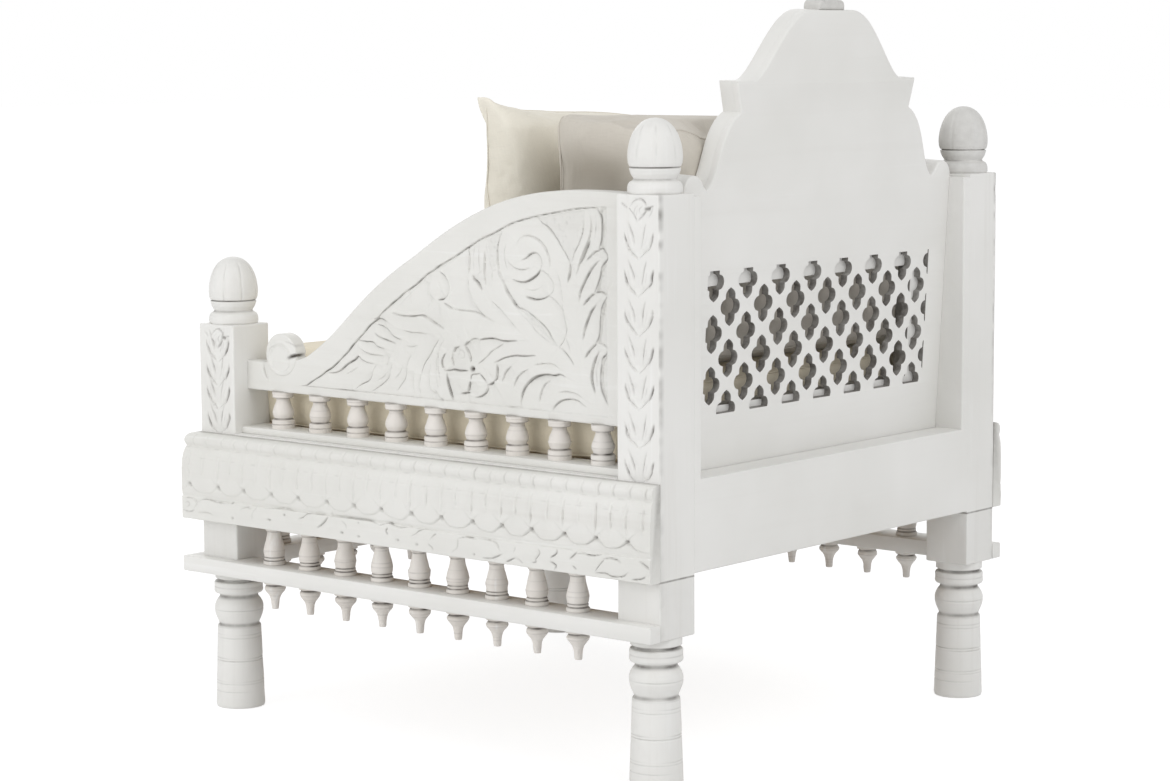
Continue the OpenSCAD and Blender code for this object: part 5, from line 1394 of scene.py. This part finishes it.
def build_frame():
    woods = {"upright": painted_wood("painted_wood_upright", "z"),
             # A darker copy of the same paint for the arms, friezes and gallery strips: painted shade that tones down
             # the side lamp on them
             "along_y": painted_wood("painted_wood_along_y_painted_shade", "y", 1.0, (226, 225, 221), (218, 217, 212)),
             "along_x": painted_wood("painted_wood_along_x", "x"),
             "rail_y": painted_wood("painted_rail_y", "y"),
             "plain_x": painted_wood("painted_board_x", "x", 0.3),
             "turned": painted_wood("painted_wood_turned", "z", 1.7, (230, 226, 221), (219, 213, 206))}
    bare, metal, rail_wood = bare_wood(), steel(), seat_rail_wood()

    for side, flip in (("left", lambda p: p), ("right", flipped)):
        for name, parts, wood, node in side_pieces(side):
            make("%s_%s" % (name, side), flip(parts), woods[wood], replaces=("%s_%s" % (node, side),))
    for name, parts, wood, node in middle_pieces():
        make(name, parts, woods[wood], replaces=(node,))

    for name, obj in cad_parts.items():
        if obj.hide_render:
            continue
        wood = rail_wood if name.startswith("seat_rail") else bare
        obj.data.materials.clear()
        obj.data.materials.append(metal if "screws" in name else wood)


# Cushions

def superellipse(n, half_x, half_y, power):
    a = np.linspace(0, 2 * math.pi, n, endpoint=False)
    c, s = np.cos(a), np.sin(a)
    return np.column_stack([half * np.sign(t) * np.abs(t) ** (2 / power) for half, t in ((half_x, c), (half_y, s))])


def cushion_blank(half_x, half_y, height, crown, power=9.0, n=160):
    """A boxed cushion lying flat, with a crown above and below and sides that pull in between the corners. Also
    the two lines where its panels are sewn together."""
    ring = superellipse(n, half_x, half_y, power)
    pulled = 1 - 0.016 * (1 - (ring / (half_x, half_y)) ** 2)
    ring = ring * pulled[:, ::-1]
    levels = [(0.985, 0.0), (0.995, 0.03), (1.0, 0.09), (1.004, 0.25), (1.008, 0.5), (1.004, 0.75), (1.0, 0.91),
              (0.995, 0.97), (0.985, 1.0)]
    cap = ((0.03, 1), (0.2, 0.99), (0.35, 0.96), (0.48, 0.9), (0.62, 0.79), (0.74, 0.62), (0.85, 0.42), (0.92, 0.22))
    rings = [np.column_stack([ring * k, np.full(n, -0.4 * crown * c)]) for k, c in cap]
    rings += [np.column_stack([ring * k, np.full(n, height * z)]) for k, z in levels]
    rings += [np.column_stack([ring * k, np.full(n, height + crown * c)]) for k, c in cap[::-1]]
    seams = [np.column_stack([ring, np.full(n, z)]) for z in (0.04 * height, 0.96 * height)]
    return loft(rings), seams


def pillow_blank(half_x=284, half_y=163, thick=40, pull=30, n=72):
    """A knife-edged pillow lying flat, with pointed corners. Also its edge line, for the seam."""
    u = np.linspace(-1, 1, n)
    v = np.linspace(-1, 1, int(n * 0.6))
    uu, vv = np.meshgrid(u, v, indexing="ij")
    top_in = pull * (1 - np.abs(uu) ** 3)
    x = uu * (half_x - 0.5 * pull * (1 - vv ** 2) * np.abs(uu))
    y = vv * half_y - np.where(vv > 0, top_in * vv, 0)
    t = 4.5 + thick * ((1 - uu ** 4) * (1 - vv ** 4)) ** 0.5
    front = np.stack([x, y, t], -1)
    back = np.stack([x, y, -t], -1)
    k, m = uu.shape
    border = grid_border(k, m)
    faces = quads(k, m) + quads(k, m, start=k * m)
    ids = [i * m + j for i, j in border]
    faces += [[a, b, b + k * m, a + k * m] for a, b in zip(ids, ids[1:] + ids[:1])]
    edge = np.array([(x[i, j], y[i, j], 0.0) for i, j in border])
    return (np.concatenate([front.reshape(-1, 3), back.reshape(-1, 3)]), faces, None), [edge]


def baked(obj):
    """Turns the object's modifiers into its mesh."""
    graph = bpy.context.evaluated_depsgraph_get()
    mesh = bpy.data.meshes.new_from_object(obj.evaluated_get(graph))
    obj.modifiers.clear()
    old, obj.data = obj.data, mesh
    bpy.data.meshes.remove(old)


def coordinates(obj):
    """The object's points, in millimetres."""
    co = np.empty(len(obj.data.vertices) * 3)
    obj.data.vertices.foreach_get("co", co)
    return co.reshape(-1, 3) / MM


def move_to(obj, points):
    """Puts the object's points at these places, in millimetres."""
    obj.data.vertices.foreach_set("co", (points * MM).reshape(-1))
    obj.data.update()


def even_mesh(name, part, voxel):
    """A temporary object with an even mesh over the part's shape."""
    points, faces, _ = part
    obj = placed(name, outward_mesh(name, points, faces))
    even = obj.modifiers.new("even", "REMESH")
    even.mode, even.voxel_size = "VOXEL", voxel * MM
    baked(obj)
    return obj


def inflate(objs, pressure, limits, frames=20):
    """Blows the closed cloths up, and holds every point within its object's limit of where it was."""
    for obj in objs:
        cloth = obj.modifiers.new("cloth", "CLOTH")
        cloth.settings.quality = 5
        cloth.settings.mass = 0.3
        cloth.settings.use_pressure = True
        cloth.settings.uniform_pressure_force = pressure
        cloth.settings.effector_weights.gravity = 0
        cloth.collision_settings.use_collision = False
        cloth.point_cache.frame_start, cloth.point_cache.frame_end = 1, frames
    for frame_no in range(1, frames + 1):
        scene.frame_set(frame_no)
    for obj, limit in zip(objs, limits):
        before = coordinates(obj)
        baked(obj)
        move = coordinates(obj) - before
        size = np.linalg.norm(move, axis=1)[:, None]
        move_to(obj, before + move * np.minimum(1, limit / np.maximum(size, 1e-6)))
    scene.frame_set(1)


def seam_tube(line, radius, sides=8):
    """A closed thin tube along a closed line."""
    line = np.asarray(line, float)
    along = np.roll(line, -1, 0) - np.roll(line, 1, 0)
    along /= np.linalg.norm(along, axis=1)[:, None]
    hint = np.where(np.abs(along[:, 2:3]) > 0.8, (1.0, 0.0, 0.0), (0.0, 0.0, 1.0))
    u = np.cross(along, hint)
    u /= np.linalg.norm(u, axis=1)[:, None]
    v = np.cross(along, u)
    a = np.linspace(0, 2 * math.pi, sides, endpoint=False)
    rings = line[:, None] + radius * (u[:, None] * np.cos(a)[None, :, None] + v[:, None] * np.sin(a)[None, :, None])
    n = len(line)
    faces = [[i * sides + j, i * sides + (j + 1) % sides, ((i + 1) % n) * sides + (j + 1) % sides,
              ((i + 1) % n) * sides + j] for i in range(n) for j in range(sides)]
    # The seam tube is a touch darker: painted shade
    return rings.reshape(-1, 3), faces, np.full(n * sides, 0.04)


def nearest(points, targets):
    """For every target the index of the nearest point."""
    tree = KDTree(len(points))
    for i, p in enumerate(points):
        tree.insert(p, i)
    tree.balance()
    return np.array([tree.find(t)[1] for t in targets])


def evened(line, times):
    """A closed line with its points averaged with their neighbours."""
    for _ in range(times):
        line = (np.roll(line, 1, 0) + 2 * line + np.roll(line, -1, 0)) / 4
    return line


def fold(points, dirt_and_shade, line, depth, width, dark):
    """Presses a soft fold into the cloth along a line in space, and paints shade into it as dark says."""
    line = spline(line)
    best = np.full(len(points), 1e9)
    for a, b in zip(line[:-1], line[1:]):
        e = b - a
        t = np.clip((points - a) @ e / max(e @ e, 1e-9), 0, 1)
        gap = points - a - t[:, None] * e
        dist = np.linalg.norm(gap, axis=1)
        closer = dist < best
        best[closer] = dist[closer]
    share = np.exp(-(best / width) ** 2)
    middle = points.mean(0)
    inward = middle - points
    inward[:, 2] *= 0.3
    inward /= np.maximum(np.linalg.norm(inward, axis=1), 1e-6)[:, None]
    return points + inward * (depth * share)[:, None], np.maximum(dirt_and_shade, dark * share)


def fitted(points, box, spare=((0, 0), (0, 0), (0, 0))):
    """The points stretched to fill the box. spare lets a side pass the box by some millimetres."""
    lo, hi = points.min(0), points.max(0)
    low = np.array([b - s[0] for b, s in zip(box[0], spare)])
    high = np.array([b + s[1] for b, s in zip(box[1], spare)])
    return low + (points - lo) / (hi - lo) * (high - low)


def crest_over(x, z, bins):
    """The highest point of the cloth in each bin along x, read off at every x."""
    which = np.clip(np.digitize(x, bins) - 1, 0, len(bins) - 2)
    crest = np.array([z[which == i].max() if (which == i).any() else np.nan for i in range(len(bins) - 1)])
    middles = 0.5 * (bins[1:] + bins[:-1])
    good = ~np.isnan(crest)
    return np.interp(x, middles[good], crest[good])


def seat_shape(p):
    """Flattens the seat cushion where it lies on the slats."""
    p[:, 2] = np.maximum(p[:, 2], SLATS_Z + 0.06 * np.clip(p[:, 2] - 366, 0, 7))
    return p


def back_shape(p):
    """Rests the back cushion on the seat and the board, and lets its top sink towards the far side and the back."""
    x, y, z = p.T
    front = np.clip(785.2 + 0.054 * x, 778, 800.5)
    rear = 791.5 + 1.5 * np.clip((x - 180) / 95, 0, 1)
    deep = np.clip((y - 130) / 205, 0, 1)
    top = front * (1 - deep) + rear * deep
    have = crest_over(x, z, np.linspace(x.min(), x.max(), 56))
    share = np.clip((z - 560) / np.maximum(have - 560, 1), 0, 1) ** 1.5
    z = z + (top - have) * share
    wall = BACK_FACE_Y + (z - BACK_FOOT) * math.tan(math.radians(BACK_LEAN))
    y = np.minimum(y, wall - 0.05 * np.clip(wall + 6 - y, 0, 6))
    z = np.maximum(z, BACK_CUSHION_Z + 0.05 * np.clip(z - 474, 0, 6))
    return np.column_stack([x, y, z])


# The pillow's top edge, and how far its near edge is turned back from the front at each height
PILLOW_TOP = ((-287, 781), (-250, 776), (-92, 780), (-67, 782), (-24, 785), (17, 789), (58, 791.5), (138, 794.5),
              (200, 798), (235, 802), (253, 805.5), (279, 812.5), (287, 816.9))
PILLOW_TURN = ((690, 710, 739, 760, 779, 800, 817), (0, 4, 11, 16, 20, 13, 11))


def pillow_shape(p):
    """Stands the pillow on the seat, with its top edge sinking from the near corner to the far one, and with its
    near edge turned forward."""
    x, y, z = p.T
    have = crest_over(x, z, np.linspace(-287, 287, 60))
    want = np.interp(x, *zip(*PILLOW_TOP))
    share = np.clip((z - 500) / np.maximum(have - 500, 1), 0, 1.2)
    levels = np.linspace(486, 817, 34)
    row = np.clip(np.digitize(z, levels) - 1, 0, 32)
    reach = np.array([x[row == i].max() for i in range(33)])
    inset = np.interp(z, 0.5 * (levels[1:] + levels[:-1]), reach) - x
    z = z + (want - have) * share ** 1.3
    z = np.maximum(z, PILLOW_Z + 0.05 * np.clip(z - 480, 0, 6))
    middle = 50 + (z - 651) * 0.035
    depth = y - middle
    near = np.clip((x - 130) / 120, 0, 1)
    front = np.minimum(-depth, 0.62 * np.maximum(inset, 0) + 2.0) * near - depth * (1 - near)
    back = 62 * np.clip(depth / 62, 0, 1) ** (1 - 0.5 * near)
    turned = 13 - np.interp(z, *PILLOW_TURN)
    y = middle - turned * near ** 1.5 + np.where(depth < 0, -front, back)
    return np.column_stack([x, y, z])


def soft_piece(name, obj, rest, seams, shape, spare, folds, radius, fill, material):
    """The finished cover over a temporary object: fitted, shaped, folded, refined, and sewn. rest is where its
    points were before it was blown up. fill, how full the padding is, is not used."""
    box = [np.array(corner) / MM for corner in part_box(name)]
    points = shape(fitted(coordinates(obj), box, spare))
    dirt_and_shade = np.zeros(len(points))
    for line, depth, width, dark in folds:
        points, dirt_and_shade = fold(points, dirt_and_shade, np.array(line, float), depth, width, dark)
    middle = points.mean(0)
    tubes = []
    for seam in seams:
        line = evened(points[nearest(rest, seam)], 3)
        out = line - middle
        out /= np.linalg.norm(out, axis=1)[:, None]
        tubes.append(seam_tube(evened(line + out * 0.2, 1), radius))
        dist = np.linalg.norm(points - line[nearest(line, points)], axis=1)
        # Painted shade, faint, along each seam
        dirt_and_shade = np.maximum(dirt_and_shade, 0.07 * np.exp(-(dist / 4.0) ** 2))
    move_to(obj, points)
    lay_dirt_and_shade(obj.data, dirt_and_shade)
    finer = obj.modifiers.new("finer", "SUBSURF")
    finer.levels = finer.render_levels = 1
    baked(obj)
    value = np.empty(len(obj.data.vertices), np.float32)
    obj.data.attributes["dirt_and_shade"].data.foreach_get("value", value)
    faces = [tuple(f.vertices) for f in obj.data.polygons]
    points = coordinates(obj)
    bpy.data.objects.remove(obj)
    cover = make(name + "_cover", [(points, faces, value)], material, name, (name,), 70)
    make(name + "_seams", tubes, material, name, (), 70)


# How each cushion is moved from lying flat to its place on the chair

def lay_seat(p):
    return p + (0, -25, 376)


def lay_back(p):
    a = math.radians(90 - BACK_LEAN)
    y, z = p[:, 1] + 157.5, p[:, 2]
    return np.column_stack([p[:, 0] + 8, y * math.cos(a) - z * math.sin(a) + 331.6,
                            y * math.sin(a) + z * math.cos(a) + 477.9])


def lay_pillow(p):
    a = math.radians(2)
    y, z = p[:, 2], p[:, 1]
    return np.column_stack([p[:, 0], y * math.cos(a) + z * math.sin(a) + 50,
                            z * math.cos(a) - y * math.sin(a) + 651])


# Folds of the back cushion: line in space, depth, width and darkness of its painted shade; the last, broad one is a
# painted shadow low on the near side, above the arm
BACK_FOLDS = [([(215, 352, 796), (212, 353, 784), (211, 353, 771)], 5.0, 4.5, 0.5),
              ([(197, 353, 788), (194, 353, 770), (192, 352, 748)], 5.0, 4.5, 0.5),
              ([(205, 351, 765), (203, 350, 735), (203, 349, 700)], 2.0, 16, 0.3),
              ([(279, 126, 800), (281, 140, 781), (281, 147, 768)], 3.0, 5, 0.35),
              ([(281, 185, 722), (281, 217, 728), (281, 255, 722)], 4.0, 34, 0.75)]


def build_cushions():
    even = (0, 0)
    # The covers are one beige cotton in three tones: the seat's lighter and warmer, painted light for a cushion seen
    # only in the shade under the arms, and the back cushion's darker, painted shade
    kinds = (("seat_cushion", cushion_blank(299, 343, 98, 7), lay_seat, 7.0,
              (seat_shape, (even, even, (6, 0)), [], 1.2, 0.8,
               cotton("cotton_seat_painted_light", (238, 229, 208), (231, 221, 199)))),
             ("back_cushion", cushion_blank(264, 154, 196, 10), lay_back, 6.0,
              (back_shape, (even, (0, 5), (5, 0)), BACK_FOLDS, 1.0, 0.8,
               cotton("cotton_back_painted_shade", (207, 201, 191), (199, 193, 182)))),
             ("throw_pillow", pillow_blank(), lay_pillow, 5.0,
              (pillow_shape, (even, even, (5, 0)), [], 1.0, 0.6,
               cotton("cotton_pillow", (236, 231, 219), (230, 225, 211)))))
    objs = []
    for name, ((points, faces, _), _), lay, voxel, _ in kinds:
        objs.append(even_mesh("soft_" + name, (lay(np.asarray(points, float)), faces, None), voxel))
    rests = [coordinates(obj) for obj in objs]
    inflate(objs, 4.0, (9.0, 12.0, 22.0))
    for (name, (_, seams), lay, _, how), obj, rest in zip(kinds, objs, rests):
        soft_piece(name, obj, rest, [lay(line) for line in seams], *how)


make_camera()
make_stage()
build_frame()
build_cushions()
